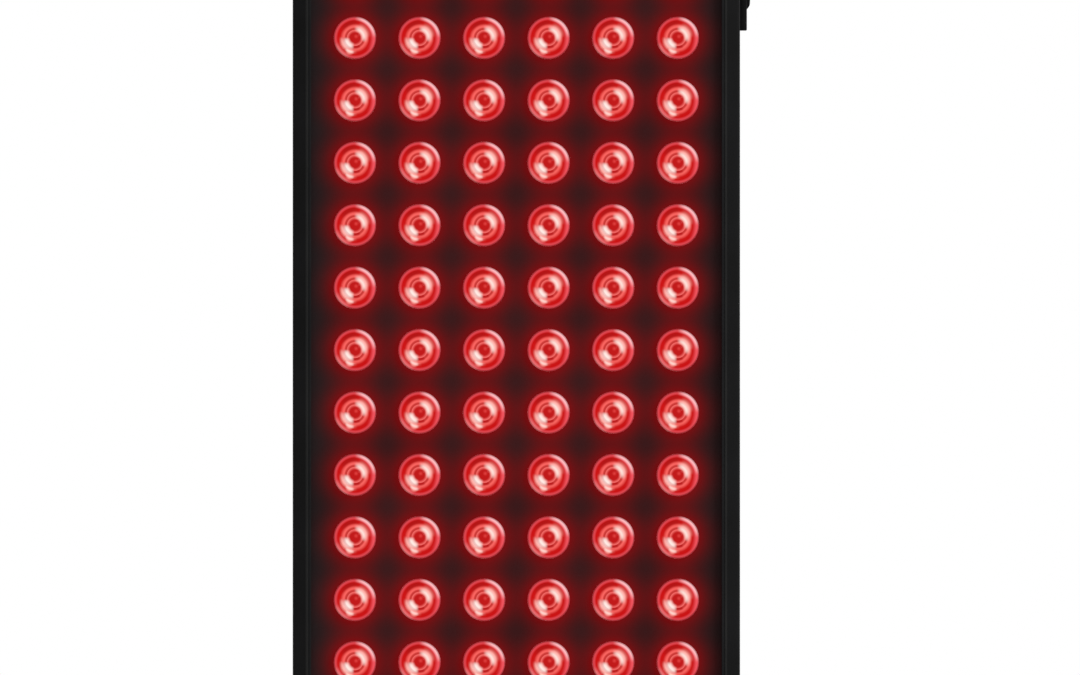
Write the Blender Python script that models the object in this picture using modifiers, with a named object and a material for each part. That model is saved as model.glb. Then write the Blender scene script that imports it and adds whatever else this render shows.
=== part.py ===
"""Red light therapy panel: LED boards with lenses behind a perforated face, in a mitred frame with fans.

Metres, +Z up. The face looks towards -Y and right is +X. The origin lies under the middle of the feet.
"""

import math

import bmesh
import bpy
from mathutils import Matrix, Vector

# Main sizes of the body
BODY_WIDTH = 0.2099
BODY_HEIGHT = 0.4700
BODY_DEPTH = 0.0620

# Gaps and overruns
FIT_GAP = 0.0003
CUT_OVERRUN = 0.001
JOIN_OVERLAP = 0.0008
MERGE_DISTANCE = 0.00001

# Lens grid
COLUMN_COUNT = 6
ROWS_PER_MODULE = 3
MODULE_COUNT = 5
SIDE_MARGIN = 0.0224
END_MARGIN = 0.0231

# Lenses and the boards that carry them
LENS_SIDES = 12
LENS_RADIUS = 0.0099
LENS_FOOT_RADIUS = 0.0066
LENS_HEIGHT = 0.0136
LENS_CUP_DEPTH = 0.0042
LENS_PROUD = 0.0015
LENS_CLEARANCE = 0.0004
LENS_HOLE_SIDES = 10
BOARD_THICKNESS = 0.0016
BOARD_MARGIN = 0.0140
BOARD_GAP = 0.0005

# Frame extrusion
LIP_WIDTH = 0.0068
LIP_THICKNESS = 0.0024
LIP_SLOPE_SHARE = 0.5
RAIL_WALL = 0.0018
EDGE_ROUND_SHARE = 0.75
RIB_THICKNESS = 0.0014
RIB_REACH = 0.0038
REAR_FLANGE_WIDTH = 0.0080
KEY_WIDTH = 0.0034
KEY_LEG = 0.0220

# Sheets
FACE_THICKNESS = 0.0015
PLATE_THICKNESS = 0.0020
COVER_THICKNESS = 0.0012

# Heat sinks
SINK_BASE = 0.0030
FIN_COUNT = 11
FIN_THICKNESS = 0.0020
FIN_TO_FAN = 0.0100
SINK_END_ROOM = 0.0160
SINK_TO_DRIVER = 0.0080

# Fans
FAN_SIZE = 0.0800
FAN_DEPTH = 0.0150
FAN_CORNER = 0.0040
FAN_RIM = 0.0018
FAN_BORE_SIDES = 24
FAN_HUB_SHARE = 0.4625
FAN_HUB_SIDES = 20
FAN_TIP_GAP = 0.0010
FAN_STRUT_COUNT = 4
FAN_STRUT_WIDTH = 0.0034
FAN_STRUT_DEPTH = 0.0030
FAN_RUNNING_GAP = 0.0005
SHAFT_RADIUS = 0.0015
SHAFT_LENGTH = 0.0024
SHAFT_SIDES = 8
BLADE_COUNT = 7
BLADE_THICKNESS = 0.0011
BLADE_SWEEP_DEG = 12
BLADE_CHORD_DEG = 38
BLADE_RISE_SHARE = 0.80
BLADE_CAMBER_SHARE = 0.10
BLADE_ROOT_SHARE = 0.90

# Fan grilles and intake slots in the back cover
GRILLE_RING_COUNT = 3
GRILLE_SPOKE_COUNT = 4
GRILLE_ARC_STEPS = 4
GRILLE_BAR = 0.0022
GRILLE_SPOKE = 0.0044
INTAKE_ROW_COUNT = 5
INTAKE_LENGTH = 0.0440
INTAKE_WIDTH = 0.0030
INTAKE_PITCH = 0.0085
INTAKE_COLUMN_GAP = 0.0200

# LED drivers
DRIVER_LENGTH = 0.1000
DRIVER_WIDTH = 0.0440
DRIVER_HEIGHT = 0.0240
DRIVER_TAB = 0.0080
DRIVER_TAB_THICKNESS = 0.0016
DRIVER_SPACING = 0.0120

# Power switch in the right rail
SWITCH_FROM_TOP = 0.0743
BEZEL_THICKNESS = 0.0027
BEZEL_OVERHANG = 0.0006
SWITCH_WALL = 0.0009
SWITCH_FLOOR = 0.0100
WELL_ROOM = 0.0010
ROCKER_HALF_LENGTH = 0.0081
ROCKER_WIDTH = 0.0114
ROCKER_VALLEY_RISE = 0.0021
ROCKER_VALLEY_SHARE = 0.32
ROCKER_RISE = 0.0029
ROCKER_BELLY = 0.0032
ROCKER_TIP_DROP = 0.0008
ROCKER_TILT_DEG = 11
PIVOT_DEPTH = 0.0022
PIVOT_RADIUS = 0.0011
PIVOT_SIDES = 8
BLADE_TERMINAL_WIDTH = 0.0048
BLADE_TERMINAL_THICKNESS = 0.0008
BLADE_TERMINAL_SEAT = 0.0040
BLADE_TERMINAL_TAIL = 0.0070
BLADE_TERMINAL_SPACING = 0.0100

# Mains inlet in the right rail
INLET_FROM_TOP = 0.0400
INLET_WALL = 0.0023
INLET_OVERHANG = 0.0020
INLET_FLANGE = 0.0025
SOCKET_WIDTH = 0.0245
SOCKET_HEIGHT = 0.0165
SOCKET_DEPTH = 0.0170
SOCKET_CORNER = 0.0040
PIN_WIDTH = 0.0040
PIN_THICKNESS = 0.0020
PIN_REACH = 0.0125
PIN_TAIL = 0.0060
PIN_SPACING = 0.0070
EARTH_PIN_OFFSET = 0.0040
FUSE_LENGTH = 0.0200
FUSE_RADIUS = 0.0026
FUSE_SIDES = 10
DRAWER_WALL = 0.0014
DRAWER_DEPTH = 0.0150
DRAWER_FRONT = 0.0014

# Hanging eyes
EYE_SPACING = 0.1400
EYE_RING_RADIUS = 0.0072
EYE_WIRE_RADIUS = 0.0021
EYE_RING_STEPS = 14
EYE_COLLAR_RADIUS = 0.0055
EYE_COLLAR_HEIGHT = 0.0020
EYE_SHANK_RADIUS = 0.0025
EYE_SHANK_SIDES = 10
EYE_NUT_HEIGHT = 0.0040
EYE_NUT_RADIUS = 0.0046
EYE_THREAD_SPARE = 0.0015

# Feet
FOOT_HEIGHT = 0.0040
FOOT_TOP_RADIUS = 0.0078
FOOT_SOLE_RADIUS = 0.0068
FOOT_SIDES = 14
FOOT_INSET = 0.0220
FOOT_EDGE_ROOM = 0.0010

# Leads
LEAD_RADIUS = 0.0011
LEAD_STEPS_PER_POINT = 2
LEAD_HOLE_RADIUS = 0.0030
LEAD_HOLE_SIDES = 8
LEAD_BEND = 0.0060

# Places worked out from the sizes above
ROW_COUNT = ROWS_PER_MODULE * MODULE_COUNT
COLUMN_PITCH = (BODY_WIDTH - 2 * (LIP_WIDTH + SIDE_MARGIN)) / (COLUMN_COUNT - 1)
ROW_PITCH = (BODY_HEIGHT - 2 * (LIP_WIDTH + END_MARGIN)) / (ROW_COUNT - 1)
BODY_BOTTOM = FOOT_HEIGHT + FIT_GAP
BODY_TOP = BODY_BOTTOM + BODY_HEIGHT
CENTRE_Z = BODY_BOTTOM + BODY_HEIGHT / 2
INNER_HALF_HEIGHT = BODY_HEIGHT / 2 - RAIL_WALL

FRONT_Y = -BODY_DEPTH / 2
REAR_Y = BODY_DEPTH / 2
LIP_BACK = FRONT_Y + LIP_THICKNESS
FACE_FRONT = LIP_BACK + FIT_GAP
FACE_BACK = FACE_FRONT + FACE_THICKNESS
SHELF_FRONT = FACE_BACK + FIT_GAP
SHELF_BACK = SHELF_FRONT + RIB_THICKNESS
LENS_TOP = FACE_FRONT - LENS_PROUD
BOARD_FRONT = LENS_TOP + LENS_HEIGHT
BOARD_BACK = BOARD_FRONT + BOARD_THICKNESS
PLATE_FRONT = BOARD_BACK + FIT_GAP
PLATE_BACK = PLATE_FRONT + PLATE_THICKNESS
MOUNTED_FRONT = PLATE_BACK + FIT_GAP
COVER_FRONT = REAR_Y - COVER_THICKNESS
FLANGE_BACK = COVER_FRONT - FIT_GAP
FLANGE_FRONT = FLANGE_BACK - RIB_THICKNESS
FAN_BACK = COVER_FRONT - FIT_GAP
FAN_FRONT = FAN_BACK - FAN_DEPTH
FAN_BORE_RADIUS = FAN_SIZE / 2 - FAN_RIM
FAN_HUB_RADIUS = FAN_SIZE / 2 * FAN_HUB_SHARE

DRIVER_BAY_HALF = DRIVER_LENGTH / 2 + DRIVER_TAB
DRIVER_X = (DRIVER_WIDTH + DRIVER_SPACING) / 2
DRIVER_MID_Y = MOUNTED_FRONT + DRIVER_HEIGHT / 2
SINK_START = DRIVER_BAY_HALF + SINK_TO_DRIVER
SINK_END = INNER_HALF_HEIGHT - SINK_END_ROOM
FAN_OFFSET = (SINK_START + SINK_END) / 2

FITTINGS_Y = (PLATE_BACK + COVER_FRONT) / 2
SIDE_X = BODY_WIDTH / 2
SWITCH_Z = BODY_TOP - SWITCH_FROM_TOP
BEZEL_FACE = SIDE_X + FIT_GAP + BEZEL_THICKNESS
PIVOT_X = BEZEL_FACE - PIVOT_DEPTH
WINDOW_HALF_LENGTH = math.hypot(ROCKER_HALF_LENGTH, ROCKER_RISE) + FIT_GAP
WINDOW_HALF_WIDTH = ROCKER_WIDTH / 2 + FIT_GAP
WELL_FLOOR = PIVOT_X - ROCKER_BELLY - WELL_ROOM
SWITCH_BACK = WELL_FLOOR - SWITCH_FLOOR

INLET_Z = BODY_TOP - INLET_FROM_TOP
INLET_FACE = SIDE_X + FIT_GAP + INLET_FLANGE
DRAWER_WIDTH = FUSE_LENGTH + 2 * (DRAWER_WALL + FIT_GAP)
DRAWER_HEIGHT = 2 * (FUSE_RADIUS + FIT_GAP) + DRAWER_WALL
DRAWER_SLOT_WIDTH = DRAWER_WIDTH + 2 * FIT_GAP
DRAWER_SLOT_HEIGHT = DRAWER_HEIGHT + 2 * FIT_GAP
INLET_BODY_WIDTH = max(SOCKET_WIDTH, DRAWER_SLOT_WIDTH) + 2 * INLET_WALL
INLET_BODY_HEIGHT = SOCKET_HEIGHT + DRAWER_SLOT_HEIGHT + 3 * INLET_WALL
INLET_BACK = INLET_FACE - max(SOCKET_DEPTH, DRAWER_DEPTH) - INLET_WALL
SOCKET_Z = INLET_Z + INLET_BODY_HEIGHT / 2 - INLET_WALL - SOCKET_HEIGHT / 2
DRAWER_Z = INLET_Z - INLET_BODY_HEIGHT / 2 + INLET_WALL + DRAWER_SLOT_HEIGHT / 2
SINK_HALF_WIDTH = INLET_BACK - PIN_TAIL - 2 * LEAD_BEND

# Turns that lay a flat outline in its plane
FACING_FRONT = (math.pi / 2, 0, 0)
FACING_SIDE = (math.pi / 2, 0, math.pi / 2)

MATERIALS = {
    "black powder coat": ((0.012, 0.012, 0.013), 0.45, 0.0),
    "charcoal sheet": ((0.022, 0.018, 0.020), 0.50, 0.0),
    "red lit lens": ((0.75, 0.04, 0.04), 0.20, 0.0),
    "bare aluminium": ((0.60, 0.61, 0.62), 0.38, 0.9),
    "driver case": ((0.62, 0.63, 0.62), 0.40, 0.5),
    "black plastic": ((0.015, 0.015, 0.016), 0.40, 0.0),
    "fan plastic": ((0.020, 0.020, 0.021), 0.48, 0.0),
    "rubber": ((0.018, 0.018, 0.018), 0.80, 0.0),
    "brass": ((0.62, 0.46, 0.20), 0.30, 1.0),
    "steel": ((0.56, 0.56, 0.55), 0.30, 1.0),
    "fuse glass": ((0.72, 0.78, 0.78), 0.08, 0.0),
    "brown lead": ((0.16, 0.06, 0.03), 0.50, 0.0),
    "blue lead": ((0.03, 0.10, 0.42), 0.50, 0.0),
    "green lead": ((0.05, 0.30, 0.07), 0.50, 0.0),
    "red lead": ((0.50, 0.02, 0.02), 0.50, 0.0),
}


# Scene and material helpers


def clear_scene():
    """Remove every object, mesh and curve that the scene starts with."""
    for thing in list(bpy.data.objects):
        bpy.data.objects.remove(thing, do_unlink=True)


def make_collection(name):
    """Make a collection in the scene."""
    collection = bpy.data.collections.new(name)
    bpy.context.scene.collection.children.link(collection)
    return collection


def material(name):
    """Return the named material, made on its first use."""
    if name in bpy.data.materials:
        return bpy.data.materials[name]
    colour, roughness, metallic = MATERIALS[name]
    made = bpy.data.materials.new(name)
    made.use_nodes = True
    shader = made.node_tree.nodes["Principled BSDF"]
    shader.inputs["Base Color"].default_value = (*colour, 1)
    shader.inputs["Roughness"].default_value = roughness
    shader.inputs["Metallic"].default_value = metallic
    made.diffuse_color = (*colour, 1)
    return made


def add_part(name, data, finish, location=(0, 0, 0), rotation=(0, 0, 0)):
    """Put a mesh or curve in the panel's collection as a named piece."""
    piece = bpy.data.objects.new(name, data)
    piece.location = location
    piece.rotation_euler = rotation
    data.materials.append(material(finish))
    PANEL.objects.link(piece)
    return piece


def add_guide(name, data, location=(0, 0, 0), rotation=(0, 0, 0)):
    """Put a mesh in the cutters' collection, shown as wire and left out of the panel."""
    guide = bpy.data.objects.new(name, data)
    guide.location = location
    guide.rotation_euler = rotation
    guide.hide_render = True
    guide.display_type = "WIRE"
    CUTTERS.objects.link(guide)
    return guide


def boolean(piece, guide, operation):
    """Cut a guide out of a piece, or join it to the piece."""
    modifier = piece.modifiers.new(guide.name, "BOOLEAN")
    modifier.operation = operation
    modifier.solver = "EXACT"
    modifier.object = guide


def smooth(mesh, angle_deg=40):
    """Shade a mesh smooth, and keep its corners sharp."""
    mesh.shade_smooth()
    mesh.set_sharp_from_angle(angle=math.radians(angle_deg))


# Shape helpers


def mesh_from(bm, name):
    """Turn a bmesh into a mesh with its faces pointing out."""
    bmesh.ops.recalc_face_normals(bm, faces=bm.faces)
    mesh = bpy.data.meshes.new(name)
    bm.to_mesh(mesh)
    bm.free()
    return mesh


def outline_curve(name, loops, thickness):
    """Flat outline, filled between its loops and extruded evenly to both sides of its plane."""
    curve = bpy.data.curves.new(name, "CURVE")
    curve.dimensions = "2D"
    curve.fill_mode = "BOTH"
    curve.extrude = thickness / 2
    for loop in loops:
        spline = curve.splines.new("POLY")
        spline.points.add(len(loop) - 1)
        for point, (x, y) in zip(spline.points, loop):
            point.co = (x, y, 0, 1)
        spline.use_cyclic_u = True
    return curve


def outline_mesh(name, loops, thickness):
    """The same outline as a closed mesh, for pieces that are cut, joined or mitred."""
    guide = bpy.data.objects.new(name, outline_curve(name, loops, thickness))
    CUTTERS.objects.link(guide)
    evaluated = guide.evaluated_get(bpy.context.evaluated_depsgraph_get())
    bm = bmesh.new()
    bm.from_mesh(bpy.data.meshes.new_from_object(evaluated))
    bmesh.ops.remove_doubles(bm, verts=bm.verts, dist=MERGE_DISTANCE)
    bpy.data.objects.remove(guide, do_unlink=True)
    return mesh_from(bm, name)


def box_mesh(name, size, centre=(0, 0, 0)):
    """Box of a size about a centre."""
    bm = bmesh.new()
    bmesh.ops.create_cube(bm, size=1)
    bmesh.ops.scale(bm, vec=Vector(size), verts=bm.verts)
    bmesh.ops.translate(bm, vec=Vector(centre), verts=bm.verts)
    return mesh_from(bm, name)


def cylinder_mesh(name, radius, length, sides, turn="Z"):
    """Cylinder about the origin, along Z, X or Y."""
    turns = {"Z": Matrix(), "X": Matrix.Rotation(math.pi / 2, 4, "Y"), "Y": Matrix.Rotation(math.pi / 2, 4, "X")}
    bm = bmesh.new()
    bmesh.ops.create_cone(
        bm,
        cap_ends=True,
        segments=sides,
        radius1=radius,
        radius2=radius,
        depth=length,
        matrix=turns[turn],
    )
    return mesh_from(bm, name)


def rectangle(x_low, x_high, y_low, y_high):
    """Rectangular loop."""
    return [(x_low, y_low), (x_high, y_low), (x_high, y_high), (x_low, y_high)]


def circle(radius, sides, centre=(0, 0)):
    """Round loop whose first point lies straight above its centre."""
    points = []
    for index in range(sides):
        angle = 2 * math.pi * index / sides
        points.append((centre[0] + radius * math.sin(angle), centre[1] + radius * math.cos(angle)))
    return points


def arc(radius, start, end, steps):
    """Points along an arc about the origin, both ends included."""
    points = []
    for index in range(steps + 1):
        angle = start + (end - start) * index / steps
        points.append((radius * math.cos(angle), radius * math.sin(angle)))
    return points


def round_hole(radius, sides, gap=FIT_GAP):
    """Radius of a faceted hole that leaves a gap all round a shaft of the given radius."""
    return (radius + gap) / math.cos(math.pi / sides)


def turned_piece(name, profile, sides, finish, location):
    """Piece turned about Z from a profile that runs from the top of its axis down its outer side."""
    mesh = bpy.data.meshes.new(name)
    points = [(radius, 0, height) for radius, height in profile]
    edges = [(index, index + 1) for index in range(len(points) - 1)]
    mesh.from_pydata(points, edges, [])
    piece = add_part(name, mesh, finish, location)
    screw = piece.modifiers.new("Turn", "SCREW")
    screw.axis = "Z"
    screw.angle = 2 * math.pi
    screw.steps = sides
    screw.render_steps = sides
    screw.use_merge_vertices = True
    screw.merge_threshold = MERGE_DISTANCE
    screw.use_smooth_shade = False
    return piece


def column_x(column):
    """Middle of a lens column."""
    return (column - (COLUMN_COUNT - 1) / 2) * COLUMN_PITCH


def row_z(row):
    """Height of a lens row, counted from the bottom."""
    return CENTRE_Z + (row - (ROW_COUNT - 1) / 2) * ROW_PITCH


# Frame


def rail_profile():
    """Section of the frame extrusion: distance in from its outer face, and depth."""
    slope = LIP_THICKNESS * LIP_SLOPE_SHARE
    corner = RAIL_WALL * EDGE_ROUND_SHARE
    corner_cut = corner * (1 - math.sqrt(0.5))
    rib_end = RAIL_WALL + RIB_REACH
    rib_front = BOARD_BACK - RIB_THICKNESS
    rib_back = MOUNTED_FRONT + RIB_THICKNESS
    return [
        (0, REAR_Y),
        (0, FRONT_Y + slope + corner),
        (corner_cut, FRONT_Y + slope + corner_cut),
        (corner, FRONT_Y + slope),
        (LIP_WIDTH, FRONT_Y),
        (LIP_WIDTH, LIP_BACK),
        (RAIL_WALL, LIP_BACK),
        (RAIL_WALL, SHELF_FRONT),
        (rib_end, SHELF_FRONT),
        (rib_end, SHELF_BACK),
        (RAIL_WALL, SHELF_BACK),
        (RAIL_WALL, rib_front),
        (rib_end, rib_front),
        (rib_end, BOARD_BACK),
        (RAIL_WALL, BOARD_BACK),
        (RAIL_WALL, MOUNTED_FRONT),
        (rib_end, MOUNTED_FRONT),
        (rib_end, rib_back),
        (RAIL_WALL, rib_back),
        (RAIL_WALL, FLANGE_FRONT),
        (RAIL_WALL + REAR_FLANGE_WIDTH, FLANGE_FRONT),
        (RAIL_WALL + REAR_FLANGE_WIDTH, FLANGE_BACK),
        (RAIL_WALL, FLANGE_BACK),
        (RAIL_WALL, REAR_Y),
    ]


def make_rail(name, length, location, turn_deg):
    """Length of the frame extrusion with both ends mitred."""
    mesh = outline_mesh(name, [rail_profile()], length)
    for vertex in mesh.vertices:
        inward = vertex.co.x + FIT_GAP
        vertex.co.z -= math.copysign(inward, vertex.co.z)
    return add_part(name, mesh, "black powder coat", location, (0, math.radians(turn_deg), 0))


def make_corner_key(name, side, end):
    """L-shaped key in the pocket behind the face sheet, across one mitred corner."""
    outer = RAIL_WALL + FIT_GAP
    inner = outer + KEY_WIDTH
    leg_end = outer + KEY_LEG
    x = [side * (BODY_WIDTH / 2 - inset) for inset in (outer, inner, leg_end)]
    z = [end * (BODY_HEIGHT / 2 - inset) for inset in (outer, inner, leg_end)]
    loop = [(x[0], z[0]), (x[2], z[0]), (x[2], z[1]), (x[1], z[1]), (x[1], z[2]), (x[0], z[2])]
    front = SHELF_BACK + FIT_GAP
    back = BOARD_BACK - RIB_THICKNESS - FIT_GAP
    curve = outline_curve(name, [loop], back - front)
    add_part(name, curve, "bare aluminium", (0, (front + back) / 2, CENTRE_Z), FACING_FRONT)


def make_frame():
    """Four mitred rails, the keys in their corners, and the openings that the rails carry."""
    make_rail("left_rail", BODY_HEIGHT, (-BODY_WIDTH / 2, 0, CENTRE_Z), 0)
    right = make_rail("right_rail", BODY_HEIGHT, (BODY_WIDTH / 2, 0, CENTRE_Z), 180)
    top = make_rail("top_rail", BODY_WIDTH, (0, 0, BODY_TOP), 90)
    make_rail("bottom_rail", BODY_WIDTH, (0, 0, BODY_BOTTOM), -90)

    wall = RAIL_WALL + 2 * CUT_OVERRUN
    notch = wall + REAR_FLANGE_WIDTH
    notch_x = BODY_WIDTH / 2 + CUT_OVERRUN - notch / 2
    switch_hole = (
        notch,
        2 * (WINDOW_HALF_WIDTH + SWITCH_WALL + FIT_GAP),
        2 * (WINDOW_HALF_LENGTH + SWITCH_WALL + FIT_GAP),
    )
    inlet_hole = (notch, INLET_BODY_WIDTH + 2 * FIT_GAP, INLET_BODY_HEIGHT + 2 * FIT_GAP)
    for name, size, z in (("switch_hole", switch_hole, SWITCH_Z), ("inlet_hole", inlet_hole, INLET_Z)):
        boolean(right, add_guide(name, box_mesh(name, size), (notch_x, FITTINGS_Y, z)), "DIFFERENCE")
    hole_radius = round_hole(EYE_SHANK_RADIUS, EYE_SHANK_SIDES)
    for side in (-1, 1):
        hole = cylinder_mesh("eye_hole", hole_radius, wall, EYE_SHANK_SIDES)
        place = (side * EYE_SPACING / 2, 0, BODY_TOP - RAIL_WALL / 2)
        boolean(top, add_guide("eye_hole", hole, place), "DIFFERENCE")

    for end_name, end in (("top", 1), ("bottom", -1)):
        for side_name, side in (("left", -1), ("right", 1)):
            make_corner_key(f"corner_key_{end_name}_{side_name}", side, end)


# Face, boards and lenses


def make_front_panel():
    """Face sheet with a hole for every lens, held in the slot of the frame."""
    inset = RAIL_WALL + FIT_GAP
    half_width = BODY_WIDTH / 2 - inset
    half_height = BODY_HEIGHT / 2 - inset
    loops = [rectangle(-half_width, half_width, -half_height, half_height)]
    hole_radius = round_hole(LENS_RADIUS, LENS_HOLE_SIDES, LENS_CLEARANCE)
    for row in range(ROW_COUNT):
        for column in range(COLUMN_COUNT):
            centre = (column_x(column), row_z(row) - CENTRE_Z)
            loops.append(circle(hole_radius, LENS_HOLE_SIDES, centre))
    curve = outline_curve("front_panel", loops, FACE_THICKNESS)
    add_part("front_panel", curve, "charcoal sheet", (0, (FACE_FRONT + FACE_BACK) / 2, CENTRE_Z), FACING_FRONT)


def add_lens(bm, x, z):
    """One lens: a cone that widens to its rim, with a shallow hollow in its front."""
    foot = BOARD_FRONT + JOIN_OVERLAP
    height = foot - LENS_TOP
    middle = Matrix.Translation((x, (foot + LENS_TOP) / 2, z)) @ Matrix.Rotation(math.pi / 2, 4, "X")
    made = bmesh.ops.create_cone(
        bm,
        cap_ends=True,
        segments=LENS_SIDES,
        radius1=LENS_FOOT_RADIUS,
        radius2=LENS_RADIUS,
        depth=height,
        matrix=middle,
    )
    corners = set(made["verts"])
    front = [
        face
        for face in bm.faces
        if corners.issuperset(face.verts) and all(vertex.co.y < middle.translation.y for vertex in face.verts)
    ]
    cup = bmesh.ops.poke(bm, faces=front)
    for vertex in cup["verts"]:
        vertex.co.y += LENS_CUP_DEPTH


def make_led_module(index):
    """Board with its rows of lenses joined to it."""
    name = f"led_module_{index + 1}"
    first_row = index * ROWS_PER_MODULE
    middle_z = (row_z(first_row) + row_z(first_row + ROWS_PER_MODULE - 1)) / 2
    board_size = (
        (COLUMN_COUNT - 1) * COLUMN_PITCH + 2 * BOARD_MARGIN,
        BOARD_THICKNESS,
        ROWS_PER_MODULE * ROW_PITCH - BOARD_GAP,
    )
    middle_y = (BOARD_FRONT + BOARD_BACK) / 2
    board = add_part(name, box_mesh(name, board_size, (0, middle_y, middle_z)), "red lit lens")
    bm = bmesh.new()
    for row in range(first_row, first_row + ROWS_PER_MODULE):
        for column in range(COLUMN_COUNT):
            add_lens(bm, column_x(column), row_z(row))
    boolean(board, add_guide(f"{name}_lenses", mesh_from(bm, f"{name}_lenses")), "UNION")


def make_carrier_plate():
    """Plate in the frame's rear slot, with a hole for each LED lead beside the boards."""
    inset = RAIL_WALL + FIT_GAP
    half_width = BODY_WIDTH / 2 - inset
    half_height = BODY_HEIGHT / 2 - inset
    loops = [rectangle(-half_width, half_width, -half_height, half_height)]
    for side in (-1, 1):
        loops.append(circle(LEAD_HOLE_RADIUS, LEAD_HOLE_SIDES, (side * lead_hole_x(), -DRIVER_BAY_HALF)))
    curve = outline_curve("carrier_plate", loops, PLATE_THICKNESS)
    place = (0, (PLATE_FRONT + PLATE_BACK) / 2, CENTRE_Z)
    add_part("carrier_plate", curve, "bare aluminium", place, FACING_FRONT)


def lead_hole_x():
    """Middle of the strip of the carrier plate between the boards and the frame's ribs."""
    board_edge = (COLUMN_COUNT - 1) * COLUMN_PITCH / 2 + BOARD_MARGIN
    rib_edge = BODY_WIDTH / 2 - RAIL_WALL - RIB_REACH
    return (board_edge + rib_edge) / 2


# Cooling


def sink_outline():
    """Section of a heat sink: a base with fins that stand towards the fan."""
    base_back = MOUNTED_FRONT + SINK_BASE
    fin_tip = FAN_FRONT - FIN_TO_FAN
    pitch = (2 * SINK_HALF_WIDTH - FIN_THICKNESS) / (FIN_COUNT - 1)
    loop = [(-SINK_HALF_WIDTH, MOUNTED_FRONT), (SINK_HALF_WIDTH, MOUNTED_FRONT)]
    for index in reversed(range(FIN_COUNT)):
        left = -SINK_HALF_WIDTH + index * pitch
        right = left + FIN_THICKNESS
        if index < FIN_COUNT - 1:
            loop.append((right, base_back))
        loop.extend([(right, fin_tip), (left, fin_tip)])
        if index > 0:
            loop.append((left, base_back))
    return loop


def make_heat_sink(name, end):
    """Extruded heat sink on the carrier plate, above or below the drivers."""
    curve = outline_curve(name, [sink_outline()], SINK_END - SINK_START)
    add_part(name, curve, "bare aluminium", (0, 0, CENTRE_Z + end * FAN_OFFSET))


def fan_spider_outline():
    """Motor mount with struts that reach into the fan's frame."""
    reach = FAN_BORE_RADIUS + JOIN_OVERLAP
    half = FAN_STRUT_WIDTH / 2
    root = math.asin(half / FAN_HUB_RADIUS)
    loop = []
    for index in range(FAN_STRUT_COUNT):
        angle = 2 * math.pi * (index + 0.5) / FAN_STRUT_COUNT
        along = Vector((math.cos(angle), math.sin(angle)))
        across = Vector((-along.y, along.x))
        loop.append(tuple(along * reach - across * half))
        loop.append(tuple(along * reach + across * half))
        step = 2 * math.pi / FAN_STRUT_COUNT
        loop.extend(arc(FAN_HUB_RADIUS, angle + root, angle + step - root, GRILLE_ARC_STEPS))
    return loop


def make_fan_frame(name, end):
    """Square fan frame with a round bore, and the motor mount on its struts."""
    half = FAN_SIZE / 2
    cut = half - FAN_CORNER
    square = [(half, -cut), (half, cut), (cut, half), (-cut, half)]
    square += [(-half, cut), (-half, -cut), (-cut, -half), (cut, -half)]
    mesh = outline_mesh(name, [square, circle(FAN_BORE_RADIUS, FAN_BORE_SIDES)], FAN_DEPTH)
    z = CENTRE_Z + end * FAN_OFFSET
    frame = add_part(name, mesh, "fan plastic", (0, (FAN_FRONT + FAN_BACK) / 2, z), FACING_FRONT)
    bearing = circle(round_hole(SHAFT_RADIUS, SHAFT_SIDES), SHAFT_SIDES)
    spider = outline_mesh(f"{name}_spider", [fan_spider_outline(), bearing], FAN_STRUT_DEPTH)
    place = (0, FAN_BACK - FAN_STRUT_DEPTH / 2, z)
    boolean(frame, add_guide(f"{name}_spider", spider, place, FACING_FRONT), "UNION")


def add_blade(bm, number, height):
    """One cambered and swept blade, from inside the hub to the bore."""
    root = FAN_HUB_RADIUS * BLADE_ROOT_SHARE
    tip = FAN_BORE_RADIUS * math.cos(math.pi / FAN_BORE_SIDES) - FAN_TIP_GAP
    made = bmesh.ops.create_grid(bm, x_segments=1, y_segments=2, size=1)
    for vertex in made["verts"]:
        span = (vertex.co.x + 1) / 2
        chord = vertex.co.y
        radius = root + (tip - root) * span
        turn = math.radians(BLADE_SWEEP_DEG * span + BLADE_CHORD_DEG / 2 * chord)
        angle = 2 * math.pi * number / BLADE_COUNT + turn
        rise = height * (BLADE_RISE_SHARE / 2 * chord + BLADE_CAMBER_SHARE * (1 - chord * chord))
        vertex.co = (radius * math.cos(angle), rise, radius * math.sin(angle))
    faces = list({face for vertex in made["verts"] for face in vertex.link_faces})
    bm.normal_update()
    bmesh.ops.solidify(bm, geom=faces, thickness=BLADE_THICKNESS)


def make_fan_rotor(name, end):
    """Hub with blades and the shaft that runs in the motor mount."""
    front = FAN_FRONT + FAN_RUNNING_GAP
    back = FAN_BACK - FAN_STRUT_DEPTH - FAN_RUNNING_GAP
    place = (0, (front + back) / 2, CENTRE_Z + end * FAN_OFFSET)
    hub = cylinder_mesh(name, FAN_HUB_RADIUS, back - front, FAN_HUB_SIDES, "Y")
    rotor = add_part(name, hub, "fan plastic", place)
    smooth(hub)
    bm = bmesh.new()
    for number in range(BLADE_COUNT):
        add_blade(bm, number, back - front)
    blades = mesh_from(bm, f"{name}_blades")
    boolean(rotor, add_guide(f"{name}_blades", blades, place), "UNION")
    shaft_length = SHAFT_LENGTH + FAN_RUNNING_GAP + JOIN_OVERLAP
    shaft = cylinder_mesh(f"{name}_shaft", SHAFT_RADIUS, shaft_length, SHAFT_SIDES, "Y")
    shaft_place = (0, back - JOIN_OVERLAP + shaft_length / 2, place[2])
    boolean(rotor, add_guide(f"{name}_shaft", shaft, shaft_place), "UNION")


# Back cover


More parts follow.
